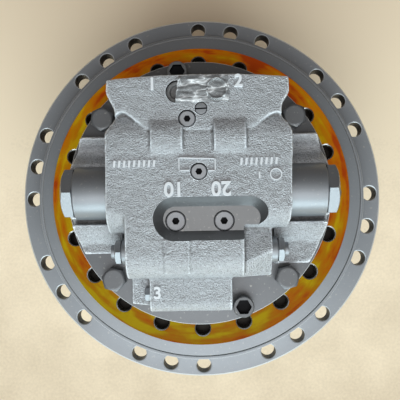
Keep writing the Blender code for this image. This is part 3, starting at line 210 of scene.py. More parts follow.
tree, result = shader_group("lathe_marks", ["Groove", "Patch"], Rings=900.0)
rings = node_of(tree, "NodeGroupInput").outputs["Rings"]
where = object_place(tree)
x, y, z = axes_of(tree, where)
spread = worked(tree, "MULTIPLY_ADD", z, 0.6, radius_of(tree, x, y))
feed(tree, result["Groove"], noise_of(tree, spread, rings, 2.0, "1D"))
feed(tree, result["Patch"], noise_of(tree, where, 26.0, 4.0))


def turned_metal(name, dark, pale, roughness, groove):
    """A machined metal with fine turning grooves and uneven oil."""
    made, tree, shader = plain_material(name, pale, roughness, 1.0)
    marks = placed(tree, "lathe_marks")
    feed(tree, shader.inputs["Base Color"], mixed(tree, marks["Patch"], dark, pale))
    spread = worked(tree, "MULTIPLY_ADD", marks["Groove"], 0.22, roughness - 0.11)
    feed(tree, shader.inputs["Roughness"], spread)
    bumped(tree, shader, marks["Groove"], groove)
    return made


machined_steel = turned_metal("machined_steel", (0.36, 0.35, 0.34), (0.55, 0.55, 0.56), 0.34, 0.04 * MM)
blackened_steel = turned_metal("blackened_steel", (0.035, 0.035, 0.04), (0.10, 0.10, 0.11), 0.45, 0.05 * MM)
bearing_bronze = turned_metal("bearing_bronze", (0.42, 0.24, 0.09), (0.62, 0.42, 0.20), 0.36, 0.05 * MM)
friction_lining, tree, shader = plain_material("friction_lining", (0.20, 0.15, 0.11), 0.9)
crumbs = noise_of(tree, object_place(tree), 900.0, 4.0)
feed(tree, shader.inputs["Base Color"], mixed(tree, crumbs, (0.10, 0.07, 0.05), (0.27, 0.21, 0.16)))
bumped(tree, shader, crumbs, 0.2 * MM)

# All are bright steel but for these. The outer pieces are replaced further down.
OTHER_FINISHES = {
    bearing_bronze: "bearing_roller_set_lower bearing_roller_set_upper valve_plate",
    blackened_steel: "brake_disc_spring",
    friction_lining: "brake_friction_plate_1 brake_friction_plate_2",
}
finishes = {name: finish for finish, names in OTHER_FINISHES.items() for name in names.split()}
for name, node in frame["nodes"].items():
    node.data.materials.clear()
    node.data.materials.append(finishes.get(name, machined_steel))


# Gearbox cover: a round iron cover that closes the hub's lower end. Its raised face is turned
# flat for the drive to stand on, and a ring of hex bolts holds it from below.
GREY_DARK = (0.205, 0.217, 0.232)
GREY_PALE = (0.275, 0.292, 0.312)
SHARP = math.radians(32)


def rounded(profile, steps=3):
    """Points (radius, z) of a profile of (radius, z, fillet), with each fillet drawn as a short
    curve between its two tangent points."""
    points = []
    for i, (radius, z, fillet) in enumerate(profile):
        corner = Vector((radius, z))
        if not fillet:
            points.append(corner)
            continue
        before = Vector(profile[i - 1][:2])
        after = Vector(profile[(i + 1) % len(profile)][:2])
        start = corner + (before - corner).normalized() * fillet
        end = corner + (after - corner).normalized() * fillet
        for step in range(steps + 1):
            t = step / steps
            points.append(start * (1 - t) ** 2 + corner * 2 * t * (1 - t) + end * t**2)
    return points


def smoothed(mesh):
    """Smooth shading but for the corners."""
    mesh.shade_smooth()
    mesh.set_sharp_from_angle(angle=SHARP)


def piece_of(name, shape, *materials):
    """A new object of a bmesh."""
    mesh = bpy.data.meshes.new(name)
    shape.to_mesh(mesh)
    shape.free()
    smoothed(mesh)
    for material in materials:
        mesh.materials.append(material)
    return new_object(name, mesh)


def joined(name, parts, *materials):
    """One piece of several, which go."""
    shape = bmesh.new()
    for part in parts:
        shape.from_mesh(part.data)
        bpy.data.objects.remove(part)
    return piece_of(name, shape, *materials)


def turned(name, profile, steps, *materials, centre=(0, 0)):
    """A profile of (radius, z, fillet) spun round a vertical axis. It is a ring, or solid if its
    first and last points lie on the axis."""
    points = rounded(profile)
    shape = bmesh.new()
    ring = [shape.verts.new((radius, 0, z)) for radius, z in points]
    pairs = list(zip(ring, ring[1:]))
    if points[0][0] > 0:
        pairs.append((ring[-1], ring[0]))
    edges = [shape.edges.new(pair) for pair in pairs]
    bmesh.ops.spin(
        shape, geom=ring + edges, cent=(0, 0, 0), axis=(0, 0, 1), angle=2 * math.pi, steps=steps
    )
    bmesh.ops.remove_doubles(shape, verts=shape.verts, dist=0.001 * MM)
    bmesh.ops.recalc_face_normals(shape, faces=shape.faces)
    bmesh.ops.translate(shape, vec=(*centre, 0), verts=shape.verts)
    return piece_of(name, shape, *materials)


def settled(piece):
    """Turns a piece's live modifiers into its plain mesh."""
    graph = bpy.context.evaluated_depsgraph_get()
    mesh = bpy.data.meshes.new_from_object(piece.evaluated_get(graph))
    piece.modifiers.clear()
    piece.data = mesh
    mesh.name = piece.name
    return piece


def machined(piece, *cutters, operation="DIFFERENCE", solver="EXACT"):
    """Cuts the cutters out of a piece, or all that lies outside them off it. Cut faces take the
    cutter's finish."""
    for cutter in cutters:
        step = piece.modifiers.new(cutter.name, "BOOLEAN")
        step.operation = operation
        step.object = cutter
        step.solver = solver
        step.material_mode = "TRANSFER"
    settled(piece)
    for cutter in cutters:
        bpy.data.objects.remove(cutter)
    smoothed(piece.data)
    return piece


def middle_of(name):
    low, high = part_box(name)
    return (low + high) / 2


def cylinder(name, radius, low, high, *materials, centre=(0, 0), fillet=0, steps=48):
    """An upright cylinder, or a cutter for a bore."""
    profile = [(0, high, 0), (radius, high, fillet), (radius, low, 0), (0, low, 0)]
    return turned(name, profile, steps, *materials, centre=centre)


ring_tree = bpy.data.node_groups.new("copies_on_a_circle", "GeometryNodeTree")
ring_tree.interface.new_socket("Geometry", in_out="OUTPUT", socket_type="NodeSocketGeometry")
for label, kind in (
    ("Geometry", "Geometry"), ("Copy", "Object"), ("Groups", "Int"), ("In a group", "Int"),
    ("Circle", "Float"), ("Pitch", "Float"), ("First", "Float"), ("Finish", "Material"),
):
    ring_tree.interface.new_socket(label, in_out="INPUT", socket_type="NodeSocket" + kind)
given = node_of(ring_tree, "NodeGroupInput").outputs
count = worked(ring_tree, "MULTIPLY", given["Groups"], given["In a group"])
index = node_of(ring_tree, "GeometryNodeInputIndex").outputs[0]
group = worked(ring_tree, "FLOOR", worked(ring_tree, "DIVIDE", index, given["In a group"]))
place_in_group = worked(ring_tree, "MODULO", index, given["In a group"])
group_turn = worked(ring_tree, "DIVIDE", 2 * math.pi, given["Groups"])
angle = worked(ring_tree, "MULTIPLY_ADD", group, group_turn, given["First"])
angle = worked(ring_tree, "MULTIPLY_ADD", place_in_group, given["Pitch"], angle)
across = worked(ring_tree, "MULTIPLY", given["Circle"], worked(ring_tree, "COSINE", angle))
along = worked(ring_tree, "MULTIPLY", given["Circle"], worked(ring_tree, "SINE", angle))
spot = linked(ring_tree, "ShaderNodeCombineXYZ", X=across, Y=along).outputs[0]
turn = linked(ring_tree, "ShaderNodeCombineXYZ", Z=angle).outputs[0]
spots = linked(ring_tree, "GeometryNodePoints", Count=count, Position=spot).outputs[0]
copy = linked(ring_tree, "GeometryNodeObjectInfo", Object=given["Copy"]).outputs["Geometry"]
copies = linked(ring_tree, "GeometryNodeInstanceOnPoints", Points=spots, Instance=copy, Rotation=turn)
real = linked(ring_tree, "GeometryNodeRealizeInstances", Geometry=copies.outputs[0]).outputs[0]
coated = linked(ring_tree, "GeometryNodeSetMaterial", Geometry=real, Material=given["Finish"])
feed(ring_tree, node_of(ring_tree, "NodeGroupOutput").inputs[0], coated.outputs[0])


def ring_of(name, original, circle, groups, finish, in_a_group=1, pitch=0.0, first=0.0):
    """Copies of an original on a circle about the hub's axis, as a plain mesh. The original goes."""
    piece = new_object(name, bpy.data.meshes.new(name))
    step = piece.modifiers.new(name, "NODES")
    step.node_group = ring_tree
    values = {
        "Copy": original, "Groups": groups, "In a group": in_a_group, "Circle": circle,
        "Pitch": pitch, "First": first, "Finish": finish,
    }
    for item in ring_tree.interface.items_tree:
        if item.name in values:
            step[item.identifier] = values[item.name]
    settled(piece)
    smoothed(piece.data)
    bpy.data.objects.remove(original)
    return piece


def stacked(name, rings, *materials, lined=99):
    """A closed body of rings of points, each joined to the next, with flat ends. From one level
    on, its faces take the second material."""
    shape = bmesh.new()
    rings = [[shape.verts.new(point) for point in ring] for ring in rings]
    shape.faces.new(rings[0][::-1])
    shape.faces.new(rings[-1]).material_index = int(lined < len(rings))
    for level, (below, above) in enumerate(zip(rings, rings[1:])):
        for i in range(len(below)):
            after = (i + 1) % len(below)
            face = shape.faces.new((below[i], below[after], above[after], above[i]))
            face.material_index = int(level >= lined)
    bmesh.ops.recalc_face_normals(shape, faces=shape.faces)
    return piece_of(name, shape, *materials)


def hexagon_reach(across, angle):
    """How far a hexagon of that width over its flats reaches at an angle."""
    return across / 2 / math.cos(angle % (math.pi / 3) - math.pi / 6)


def hex_bolt_head(name, across, low, top, material, flat_share=0.94, steps=8):
    """A hexagon head from low to top, its upper corners turned down by the usual cone."""
    flat = across / 2 * flat_share
    rings = [[], [], [], []]
    for i in range(6 * steps):
        angle = 2 * math.pi * i / (6 * steps)
        reach = hexagon_reach(across, angle)
        drop = (reach - flat) * math.tan(math.radians(30))
        for ring, radius, z in zip(rings, (reach, reach, flat, flat * 0.9), (low, top - drop, top, top)):
            ring.append((radius * math.cos(angle), radius * math.sin(angle), z))
    return stacked(name, rings, material)


tree, result = shader_group("paint_skin", ["Peel", "Drift", "Dust"])
where = object_place(tree)
feed(tree, result["Peel"], noise_of(tree, where, 520.0, 2.0))
feed(tree, result["Drift"], noise_of(tree, where, 11.0, 5.0))
specks = noise_of(tree, where, 310.0, 1.0)
specks = worked(tree, "SMOOTH_MAX", worked(tree, "SUBTRACT", specks, 0.66), 0.0, 0.02)
feed(tree, result["Dust"], worked(tree, "MULTIPLY", specks, 2.4))


def smooth_paint(name, dark=GREY_DARK, pale=GREY_PALE, roughness=0.42, metallic=0.5):
    """Grey spray paint over a turned surface: turning marks show faintly through it."""
    made, tree, shader = plain_material(name, pale, roughness, metallic)
    skin = placed(tree, "paint_skin")
    marks = placed(tree, "lathe_marks", Rings=1400.0)
    colour = mixed(tree, skin["Dust"], mixed(tree, skin["Drift"], dark, pale), (0.52, 0.50, 0.46))
    feed(tree, shader.inputs["Base Color"], colour)
    dullness = worked(tree, "MULTIPLY_ADD", skin["Peel"], 0.16, roughness - 0.08)
    feed(tree, shader.inputs["Roughness"], dullness)
    height = worked(tree, "MULTIPLY_ADD", marks["Groove"], 0.5, skin["Peel"])
    bumped(tree, shader, height, 0.03 * MM)
    return made


grey_smooth = smooth_paint("grey_paint_on_turned_face")
hub_low, hub_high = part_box("hub")
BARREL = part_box("gearbox_cover")[1].x
COVER_FACE = 138 * MM
COVER_STEP = 12 * MM
COVER_RIM_TOP = hub_low.z - 0.3 * MM
COVER_BOLTS = 10
COVER_BOLT_CIRCLE = (BARREL + COVER_FACE) / 2
COVER_PLUG_RADIUS = 13 * MM

profile = [
    (0, COVER_RIM_TOP, 0),
    (BARREL - 4 * MM, COVER_RIM_TOP, 0),
    (BARREL, COVER_RIM_TOP, 1.2 * MM),
    (BARREL, COVER_STEP, 2 * MM),
    (COVER_FACE, COVER_STEP, 2.5 * MM),
    (COVER_FACE - 4 * MM, 0, 1.5 * MM),
    (COVER_FACE - 26 * MM, 0, 0),
    (COVER_FACE - 27 * MM, 1.2 * MM, 0),
    (64 * MM, 1.2 * MM, 1 * MM),
    (60 * MM, 4 * MM, 2 * MM),
    (0, 4 * MM, 0),
]
gearbox_cover = turned("gearbox_cover_casting", profile, 160, grey_smooth)
plug_places = {name: middle_of(name) for name in ("drain_plug", "level_plug")}
POCKET_RADIUS = COVER_PLUG_RADIUS + 0.4 * MM
pockets = [
    cylinder(name + "_pocket", POCKET_RADIUS, -MM, 10 * MM, grey_smooth, centre=place[:2])
    for name, place in plug_places.items()
]
machined(gearbox_cover, *pockets)
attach(gearbox_cover, "hub")
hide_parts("gearbox_cover")

bolt = hex_bolt_head("cover_bolt_head", 19 * MM, -3.7 * MM, 4 * MM, grey_smooth)
bolt.data.transform(Matrix.Translation((0, 0, 8 * MM)) @ Matrix.Rotation(math.pi, 4, "X"))
cover_bolts = ring_of(
    "gearbox_cover_bolts", bolt, COVER_BOLT_CIRCLE, COVER_BOLTS, grey_smooth, first=math.pi / COVER_BOLTS
)
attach(cover_bolts, "hub")


def socket_plug(name, radius, across, low, top, socket_depth, chamfer, material, dark, centre=(0, 0)):
    """A round plug or screw head with a hexagon socket in its top face. The socket's walls take
    the second material."""
    rings = []
    for outer, z in (
        (radius, low), (radius, top - chamfer), (radius - chamfer, top), (None, top),
        (None, top - socket_depth),
    ):
        ring = []
        for i in range(48):
            angle = 2 * math.pi * i / 48
            reach = outer or hexagon_reach(across, angle)
            ring.append((centre[0] + reach * math.cos(angle), centre[1] + reach * math.sin(angle), z))
        rings.append(ring)
    return stacked(name, rings, material, dark, lined=3)


for name, place in plug_places.items():
    low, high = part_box(name)
    plug = socket_plug(
        name + "_steel", COVER_PLUG_RADIUS, 12 * MM, -high.z, -low.z, 6 * MM, 0.8 * MM, machined_steel,
        blackened_steel,
    )
    plug.data.transform(Matrix.Translation((*place[:2], 0)) @ Matrix.Rotation(math.pi, 4, "X"))
    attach(plug, "hub")
    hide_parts(name)


# Hub: the turning iron housing with the sprocket flange. Its barrel is a rough casting, painted grey,
# with a painted highlight on its edges and painted shade in its hollows. The flange, the rim and the
# pilot under it are turned, and the sprocket's bolt holes are drilled and countersunk.
CAST_GRAIN = 760.0
tree, result = shader_group("sand_cast_skin", ["Height", "Pits", "Drift"])
where = object_place(tree)
grains = noise_of(tree, where, CAST_GRAIN)
crests = worked(tree, "SMOOTH_MAX", grains, 0.42, 0.06)
swell = noise_of(tree, where, CAST_GRAIN / 5, 2.0)
feed(tree, result["Height"], worked(tree, "MULTIPLY_ADD", swell, 0.8, crests))
pits = worked(tree, "SMOOTH_MAX", worked(tree, "SUBTRACT", 0.45, grains), 0.0, 0.05)
feed(tree, result["Pits"], worked(tree, "MULTIPLY", pits, 7.0))
feed(tree, result["Drift"], noise_of(tree, where, 13.0, 4.0))

CAST_DARK = (0.40, 0.415, 0.435)
CAST_PALE = (0.54, 0.565, 0.595)
CAST_DEPTH = 2.2 * MM
grey_cast, tree, shader = plain_material("grey_paint_on_casting", CAST_PALE, 0.42, 0.3)
skin = placed(tree, "sand_cast_skin")
bend = node_of(tree, "ShaderNodeNewGeometry").outputs["Pointiness"]
# Hollows, where Pointiness is low, are painted dark: painted shade in them.
painted_hollow_shade = worked(tree, "MULTIPLY", worked(tree, "SUBTRACT", 0.489, bend), 28.0)
painted_hollow_shade = worked(tree, "MINIMUM", worked(tree, "MAXIMUM", painted_hollow_shade, 0.0), 0.75)
# Sharp convex edges, where Pointiness is high, are painted pale: a painted highlight.
edge = worked(tree, "MULTIPLY", worked(tree, "SUBTRACT", bend, 0.513), 45.0)
edge = worked(tree, "MINIMUM", worked(tree, "MAXIMUM", edge, 0.0), 1.0)
colour = mixed(tree, skin["Drift"], CAST_DARK, CAST_PALE)
# The grain's pits are painted near-black: painted shade in these small hollows.
colour = mixed(tree, skin["Pits"], colour, (0.16, 0.16, 0.165))
colour = mixed(tree, painted_hollow_shade, colour, (0.10, 0.09, 0.085))
colour = mixed(tree, edge, colour, (0.72, 0.76, 0.80))
feed(tree, shader.inputs["Base Color"], colour)
feed(tree, shader.inputs["Roughness"], worked(tree, "MULTIPLY_ADD", skin["Pits"], 0.25, 0.36))
bumped(tree, shader, skin["Height"], CAST_DEPTH)

# A paler copy of the grey paint, put on chamfers and rims: a painted highlight.
edge_highlight_paint = smooth_paint("worn_paint_on_edges", (0.46, 0.48, 0.50), (0.66, 0.69, 0.72), 0.34, 0.3)
# Near-black paint for the walls of drilled holes and of the gaps round the plugs: painted shade.
bore_shade_paint = smooth_paint("paint_in_bores", (0.02, 0.02, 0.021), (0.045, 0.045, 0.047), 0.5)
RIM_TOP = hub_high.z
RIM_OUTER = 193.5 * MM
RIM_INNER = 190 * MM
RIM_HEIGHT = 12 * MM
SPROCKET_FACE = RIM_TOP - RIM_HEIGHT
SPROCKET_REACH = hub_high.x - 0.01 * MM
mounts = {mount["name"]: mount for mount in frame["record"]["mounts"]}
FLANGE_UNDER = mounts["sprocket_face"]["pos_m"][2]
PILOT = BARREL + 8 * MM
PILOT_LOW = FLANGE_UNDER - 12 * MM
SPROCKET_CIRCLE = 203 * MM
SPROCKET_HOLE = 8.75 * MM
SEAL_BORE = 158.9 * MM
RING_BORE = BARREL - 17 * MM
COUNTERSINK = 0.9 * MM


def faces_where(piece, material, wanted):
    """Gives the faces that a test of centre and normal picks a further finish."""
    piece.data.materials.append(material)
    slot = len(piece.data.materials) - 1
    for face in piece.data.polygons:
        if wanted(face.center, face.normal):
            face.material_index = slot


def drill(name, radius, low, top, countersink, material):
    """A cutter that leaves a countersunk hole."""
    mouth = radius + countersink
    profile = [(0, top + 4 * MM, 0), (mouth, top + 4 * MM, 0), (mouth, top, 0)]
    profile += [(radius, top - countersink, 0), (radius, low, 0), (0, low, 0)]
    return turned(name, profile, 40, material)


profile = [
    (RIM_OUTER, RIM_TOP, 0.9 * MM),
    (RIM_OUTER, SPROCKET_FACE, 1.2 * MM),
    (SPROCKET_REACH - 2 * MM, SPROCKET_FACE, 0),
    (SPROCKET_REACH, SPROCKET_FACE - 2 * MM, 1.2 * MM),
    (SPROCKET_REACH, FLANGE_UNDER, 2 * MM),
    (PILOT, FLANGE_UNDER, 1 * MM),
    (PILOT, PILOT_LOW, 1.5 * MM),
    (BARREL, PILOT_LOW - 8 * MM, 9 * MM),
    (BARREL, hub_low.z + 16 * MM, 4 * MM),
    (BARREL - 1.5 * MM, hub_low.z + 12 * MM, 2 * MM),
    (BARREL - 1.5 * MM, hub_low.z, 1 * MM),
    (RING_BORE, hub_low.z, 0),
    (RING_BORE, hub_low.z + 108 * MM, 0),
    (SEAL_BORE - 9 * MM, hub_low.z + 109 * MM, 0),
    (SEAL_BORE - 9 * MM, SPROCKET_FACE - 16 * MM, 0),
    (SEAL_BORE, SPROCKET_FACE - 15 * MM, 0),
    (SEAL_BORE, SPROCKET_FACE, 0),
    (RIM_INNER, SPROCKET_FACE, 1 * MM),
    (RIM_INNER, RIM_TOP, 0.7 * MM),
]
hub = turned("hub_casting", profile, 240, grey_smooth)
hole = drill(
    "sprocket_hole", SPROCKET_HOLE, FLANGE_UNDER - 5 * MM, SPROCKET_FACE, COUNTERSINK, bore_shade_paint
)
holes = ring_of(
    "sprocket_holes", hole, SPROCKET_CIRCLE, 8, bore_shade_paint, in_a_group=3,
    pitch=math.radians(11.25), first=math.radians(22.5),
)
machined(hub, holes)
faces_where(
    hub,
    grey_cast,
    lambda centre, normal: hub_low.z + 12 * MM < centre.z < PILOT_LOW - 3 * MM
    and centre.xy.length > BARREL - 3 * MM,
)
faces_where(
    hub,
    edge_highlight_paint,
    lambda centre, normal: 0.25 < normal.z < 0.93 and centre.z > SPROCKET_FACE - 2.1 * MM
    and (centre.z > RIM_TOP - MM or centre.xy.length > RIM_OUTER + 1.5 * MM),
)
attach(hub, "hub")
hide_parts("hub")


# Spindle: the fixed casting that bolts to the track frame. The frame's seat is a bare turned ring
# with twenty tapped holes, brushed with amber rust-proofing wax, and the rest is painted grey.
spindle_low, spindle_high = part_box("spindle")
FRAME_FACE = mounts["frame_face"]["pos_m"][2]
FRAME_FLANGE_TOP = FRAME_FACE - 3.5 * MM
FRAME_FLANGE_LOW = FRAME_FLANGE_TOP - 18 * MM
FRAME_REACH = 186.5 * MM
FRAME_FACE_REACH = 173 * MM
FRAME_CIRCLE = 154 * MM
FRAME_HOLES = 20
FRAME_HOLE = 8.5 * MM
FRAME_HOLE_DEPTH = 18 * MM
CASING = 140.5 * MM
CASING_TOP = spindle_high.z
SHOULDER = 118 * MM
JOURNAL = 110 * MM

# The tapped holes' walls are painted near-black as painted shade, and their colour is striped paler and
# darker along the threads as painted shading of the thread flanks.
tapped_steel, tree, shader = plain_material("tapped_steel", (0.05, 0.045, 0.04), 0.4, 1.0)
THREAD_PITCH = 2.5 * MM
depth = axes_of(tree, object_place(tree))[2]
thread = worked(tree, "SINE", worked(tree, "MULTIPLY", depth, 2 * math.pi / THREAD_PITCH))
feed(tree, shader.inputs["Base Color"], mixed(tree, thread, (0.02, 0.018, 0.016), (0.12, 0.10, 0.07)))
bumped(tree, shader, thread, 0.8 * MM)

tree, result = shader_group("brushed_wax", ["Streaks", "Stains"])
where = object_place(tree)
x, y, z = axes_of(tree, where)
bearing = worked(tree, "ARCTAN2", y, x)
across = worked(tree, "MULTIPLY", worked(tree, "COSINE", bearing), 0.10)
along = worked(tree, "MULTIPLY", worked(tree, "SINE", bearing), 0.10)
outward = worked(tree, "MULTIPLY", radius_of(tree, x, y), 3.2)
brushed_place = linked(tree, "ShaderNodeCombineXYZ", X=across, Y=along, Z=outward).outputs[0]
feed(tree, result["Streaks"], noise_of(tree, brushed_place, 30.0, 4.0))
feed(tree, result["Stains"], noise_of(tree, where, 34.0, 7.0))

amber_wax, tree, shader = plain_material("amber_wax", (0.40, 0.17, 0.01), 0.34, 0.1)
wax = placed(tree, "brushed_wax")
x, y, z = axes_of(tree, object_place(tree))
amount = worked(tree, "MULTIPLY_ADD", wax["Stains"], 0.45, -0.235)
amount = worked(tree, "MULTIPLY_ADD", wax["Streaks"], 1.05, amount)
# The tones shift towards yellow to the south and west: a painted highlight.
amount = worked(tree, "MULTIPLY_ADD", x, -0.25, amount)
amount = worked(tree, "MULTIPLY_ADD", y, -0.50, amount)
WAX_TONES = (
    (0.34, (0.30, 0.040, 0.004)),
    (0.45, (0.38, 0.105, 0.003)),
    (0.57, (0.36, 0.150, 0.003)),
    (0.72, (0.42, 0.280, 0.004)),
)
ramp = linked(tree, "ShaderNodeValToRGB", Fac=amount)
stops = ramp.color_ramp.elements
for position, colour in WAX_TONES[1:-1]:
    stops.new(position)
for stop, (position, colour) in zip(stops, WAX_TONES):
    stop.position = position
    stop.color = (*colour, 1)
# The colour is made brighter towards the north and darker towards the south: painted light and shade.
wax_painted_light = worked(tree, "MULTIPLY", worked(tree, "POWER", 60.0, y), 1.1)
feed(tree, shader.inputs["Base Color"], mixed(tree, 1.0, ramp.outputs["Color"], wax_painted_light, "MULTIPLY"))
feed(tree, shader.inputs["Roughness"], worked(tree, "MULTIPLY_ADD", wax["Stains"], 0.25, 0.24))
feed(tree, shader.inputs["Specular IOR Level"], 0.03)
bumped(tree, shader, wax["Streaks"], 0.25 * MM)

profile = [
    (CASING, CASING_TOP, 1.5 * MM),
    (CASING, FRAME_FACE, 1.5 * MM),
    (FRAME_FACE_REACH, FRAME_FACE, 0.8 * MM),
    (FRAME_FACE_REACH, FRAME_FLANGE_TOP, 0.8 * MM),
    (FRAME_REACH, FRAME_FLANGE_TOP, 1.3 * MM),
    (FRAME_REACH, FRAME_FLANGE_LOW, 1 * MM),
    (SHOULDER, FRAME_FLANGE_LOW, 0),
    (SHOULDER, 223.8 * MM, 0),
    (JOURNAL, 223.8 * MM, 0),
    (JOURNAL, spindle_low.z, 1 * MM),
    (34.4 * MM, spindle_low.z, 0),
    (34.4 * MM, 164 * MM, 0),
    (78 * MM, 181 * MM, 0),
    (92 * MM, CASING_TOP - 45 * MM, 0),
    (92 * MM, CASING_TOP, 1 * MM),
]
spindle = turned("spindle_casting", profile, 240, grey_smooth)
hole = drill("frame_hole", FRAME_HOLE, FRAME_FACE - FRAME_HOLE_DEPTH, FRAME_FACE, 1.1 * MM, tapped_steel)
holes = ring_of("frame_holes", hole, FRAME_CIRCLE, FRAME_HOLES, tapped_steel)
machined(spindle, holes)
faces_where(
    spindle,
    amber_wax,
    lambda centre, normal: CASING < centre.xy.length < FRAME_FACE_REACH + 0.1 * MM
    and centre.z > FRAME_FACE - 1.3 * MM and normal.z > 0.3,
)
faces_where(
    spindle,
    grey_cast,
    lambda centre, normal: centre.xy.length > CASING - MM
    and FRAME_FACE + 6 * MM < centre.z < CASING_TOP - 6 * MM,
)
faces_where(
    spindle,
    machined_steel,
    lambda centre, normal: abs(centre.xy.length - FRAME_CIRCLE) < FRAME_HOLE + 2 * MM
    and FRAME_FACE - 1.2 * MM < centre.z < FRAME_FACE - 0.05 * MM and 0.3 < normal.z < 0.9,
)
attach(spindle, "root")
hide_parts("spindle")


# Rear cover: the valve block, one sand casting on a round machined base. Its forms are joined
# roughly, softened as a casting is, and then the recess, bores and seats are milled into it.
TOP = mounts["port_face"]["pos_m"][2] + 0.2 * MM
BASE_TOP = TOP - 50 * MM
BASE_RADIUS = 137.5 * MM
BASE_LOW = CASING_TOP + 0.3 * MM
SPIGOT_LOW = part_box("rear_cover")[0].z
ROOT = BASE_TOP - 3 * MM
BOSS_LEVEL = BASE_TOP + 7 * MM
BOSS_RADIUS = 27.5 * MM
CAST_VOXEL = 1.25 * MM


def bow(centre, reach, start, end, steps=10):
    """Points on an ellipse from one angle to another, in degrees."""
    angles = [math.radians(start + (end - start) * i / steps) for i in range(steps + 1)]
    return [(centre[0] + reach[0] * math.cos(a), centre[1] + reach[1] * math.sin(a)) for a in angles]


def millimetres(*points):
    return [tuple(value * MM for value in point) for point in points]


def flowing(*points, steps=5):
    """A smooth open line through points that are given in millimetres."""
    points = millimetres(*points)
    line = []
    chain = [points[0], *points, points[-1]]
    for before, start, end, after in zip(chain, chain[1:], chain[2:], chain[3:]):
        a, b, c, d = (Vector(point) for point in (before, start, end, after))
        for i in range(steps):
            t = i / steps
            bend = (2 * a - 5 * b + 4 * c - d) * t**2 + (3 * b - a - 3 * c + d) * t**3
            line.append((2 * b + (c - a) * t + bend) / 2)
    line.append(Vector(points[-1]))
    return line


def prism(name, outline, low, high, *materials):
    """An outline pushed up from one level to another."""
    return stacked(name, [[(x, y, z) for x, y in outline] for z in (low, high)], *materials)


def slab(name, outline, west, east):
    """An outline of (y, z) points pushed along X, from and to places given in millimetres."""
    return stacked(name, [[(x * MM, y, z) for y, z in outline] for x in (west, east)])


def hulled(name, points):
    """The tight skin round a few corner points."""
    shape = bmesh.new()
    for point in points:
        shape.verts.new(point)
    result = bmesh.ops.convex_hull(shape, input=shape.verts)
    spare = [item for item in result["geom_interior"] if isinstance(item, bmesh.types.BMVert)]
    bmesh.ops.delete(shape, geom=spare, context="VERTS")
    bmesh.ops.recalc_face_normals(shape, faces=shape.faces)
    return piece_of(name, shape)


def above_base(outline):
    """(y, height over the base) points as (y, z), in metres."""
    return [(y, BASE_TOP + height) for y, height in outline]


def cast_forms():
    """The rough forms of the valve block, which overlap where they join."""
    north = bow((48 * MM, TOP - 30 * MM), (36 * MM, 30 * MM), 0, 90)
    foot = [(-38 * MM, ROOT), (84 * MM, ROOT)]
    south = bow((-15 * MM, TOP - 23 * MM), (23 * MM, 23 * MM), 90, 180)
    middle = slab("middle", foot + north + south, -95, 95)
    waist_east = flowing((92, 55), (88.4, 63), (83, 70), (82, 80), (82, 95))
    waist_west = flowing((-80.5, 95), (-80.5, 80), (-80.5, 72), (-85, 64), (-90, 57))
    corner = flowing((70, -45), (85, -39), (89.5, -26), (90, -12))
    plan = millimetres((-90, -45)) + corner + waist_east + waist_west
    forms = [machined(middle, prism("plan", plan, ROOT - MM, TOP + MM), operation="INTERSECT")]
    south = bow((-9 * MM, TOP - 33 * MM), (33 * MM, 33 * MM), 90, 180)
    heel = [(-42 * MM, ROOT), (0, ROOT), (0, TOP)] + south
    forms.append(slab("west_heel", heel, -90, -68))

    wall = flowing((88.8, 108), (89.2, 101), (88.6, 92), (84, 84.7), (82, 79), (82, 73))
    arch = flowing((82, 71.5), (75, 72.8), (66, 68), (57, 62), (47, 58.5))
    rise = flowing((-47, 59), (-58, 66), (-67, 73), (-73, 76), (-80, 72))
    back = flowing((-80, 73), (-81, 80), (-88, 94), (-88.4, 101), (-88, 108))
    front = flowing((-87, 108.2), (-45, 111.3), (0, 112), (45, 111.3), (88, 108.2))
    outline = wall + arch + rise + back + front
    forms.append(prism("port_block", outline, ROOT, TOP))
    for east in (-29.9, 31.4):
        hump = bow((51 * MM, TOP - 22 * MM), (27.6 * MM, 27.6 * MM), 30, 150)
        forms.append(slab("saddle", hump, east - 15.8, east + 15.8))

    slope = bow((-61 * MM, TOP - 26 * MM), (26 * MM, 26 * MM), 90, 180)
    block = [(-87 * MM, ROOT), (-20 * MM, ROOT), (-20 * MM, TOP)] + slope
    forms.append(slab("south_body", block, -72, 43.5))
    slope = bow((-61 * MM, TOP - 26 * MM), (27.8 * MM, 27.8 * MM), 90, 140)
    rib = [(-61 * MM, TOP - 9 * MM), (-48 * MM, TOP - 9 * MM), (-48 * MM, TOP + 1.8 * MM)] + slope
    forms.append(slab("rib", rib, -33.4, -9.6))
    high = TOP - 11 * MM
    points = [(x, y, high - 9 * MM) for x, y in millimetres((42, -34), (71.5, -34))]
    points += [(x, y, high) for x, y in millimetres((71.5, -60), (44, -70), (42, -74))]
    points += [(71.5 * MM, -86 * MM, high - 22 * MM), (42 * MM, -86 * MM, high - 8 * MM)]
    points += [(x, y, ROOT) for x, y in millimetres((42, -30), (71.5, -30), (71.5, -86), (42, -86))]
    forms.append(hulled("step", points))

    slope = bow((-110 * MM, BASE_TOP + 8 * MM), (12 * MM, 12 * MM), 90, 180)
    pilot = [(-122 * MM, ROOT), (-80 * MM, ROOT), (-80 * MM, BASE_TOP + 20 * MM)] + slope
    forms.append(slab("pilot_block", pilot, -51.5, 32))
    ledge = millimetres((-70.5, -114), (-48, -117), (-48, -82), (-70.5, -82))
    forms.append(prism("ledge", ledge, ROOT, BASE_TOP + 8 * MM))
    return forms + side_forms()


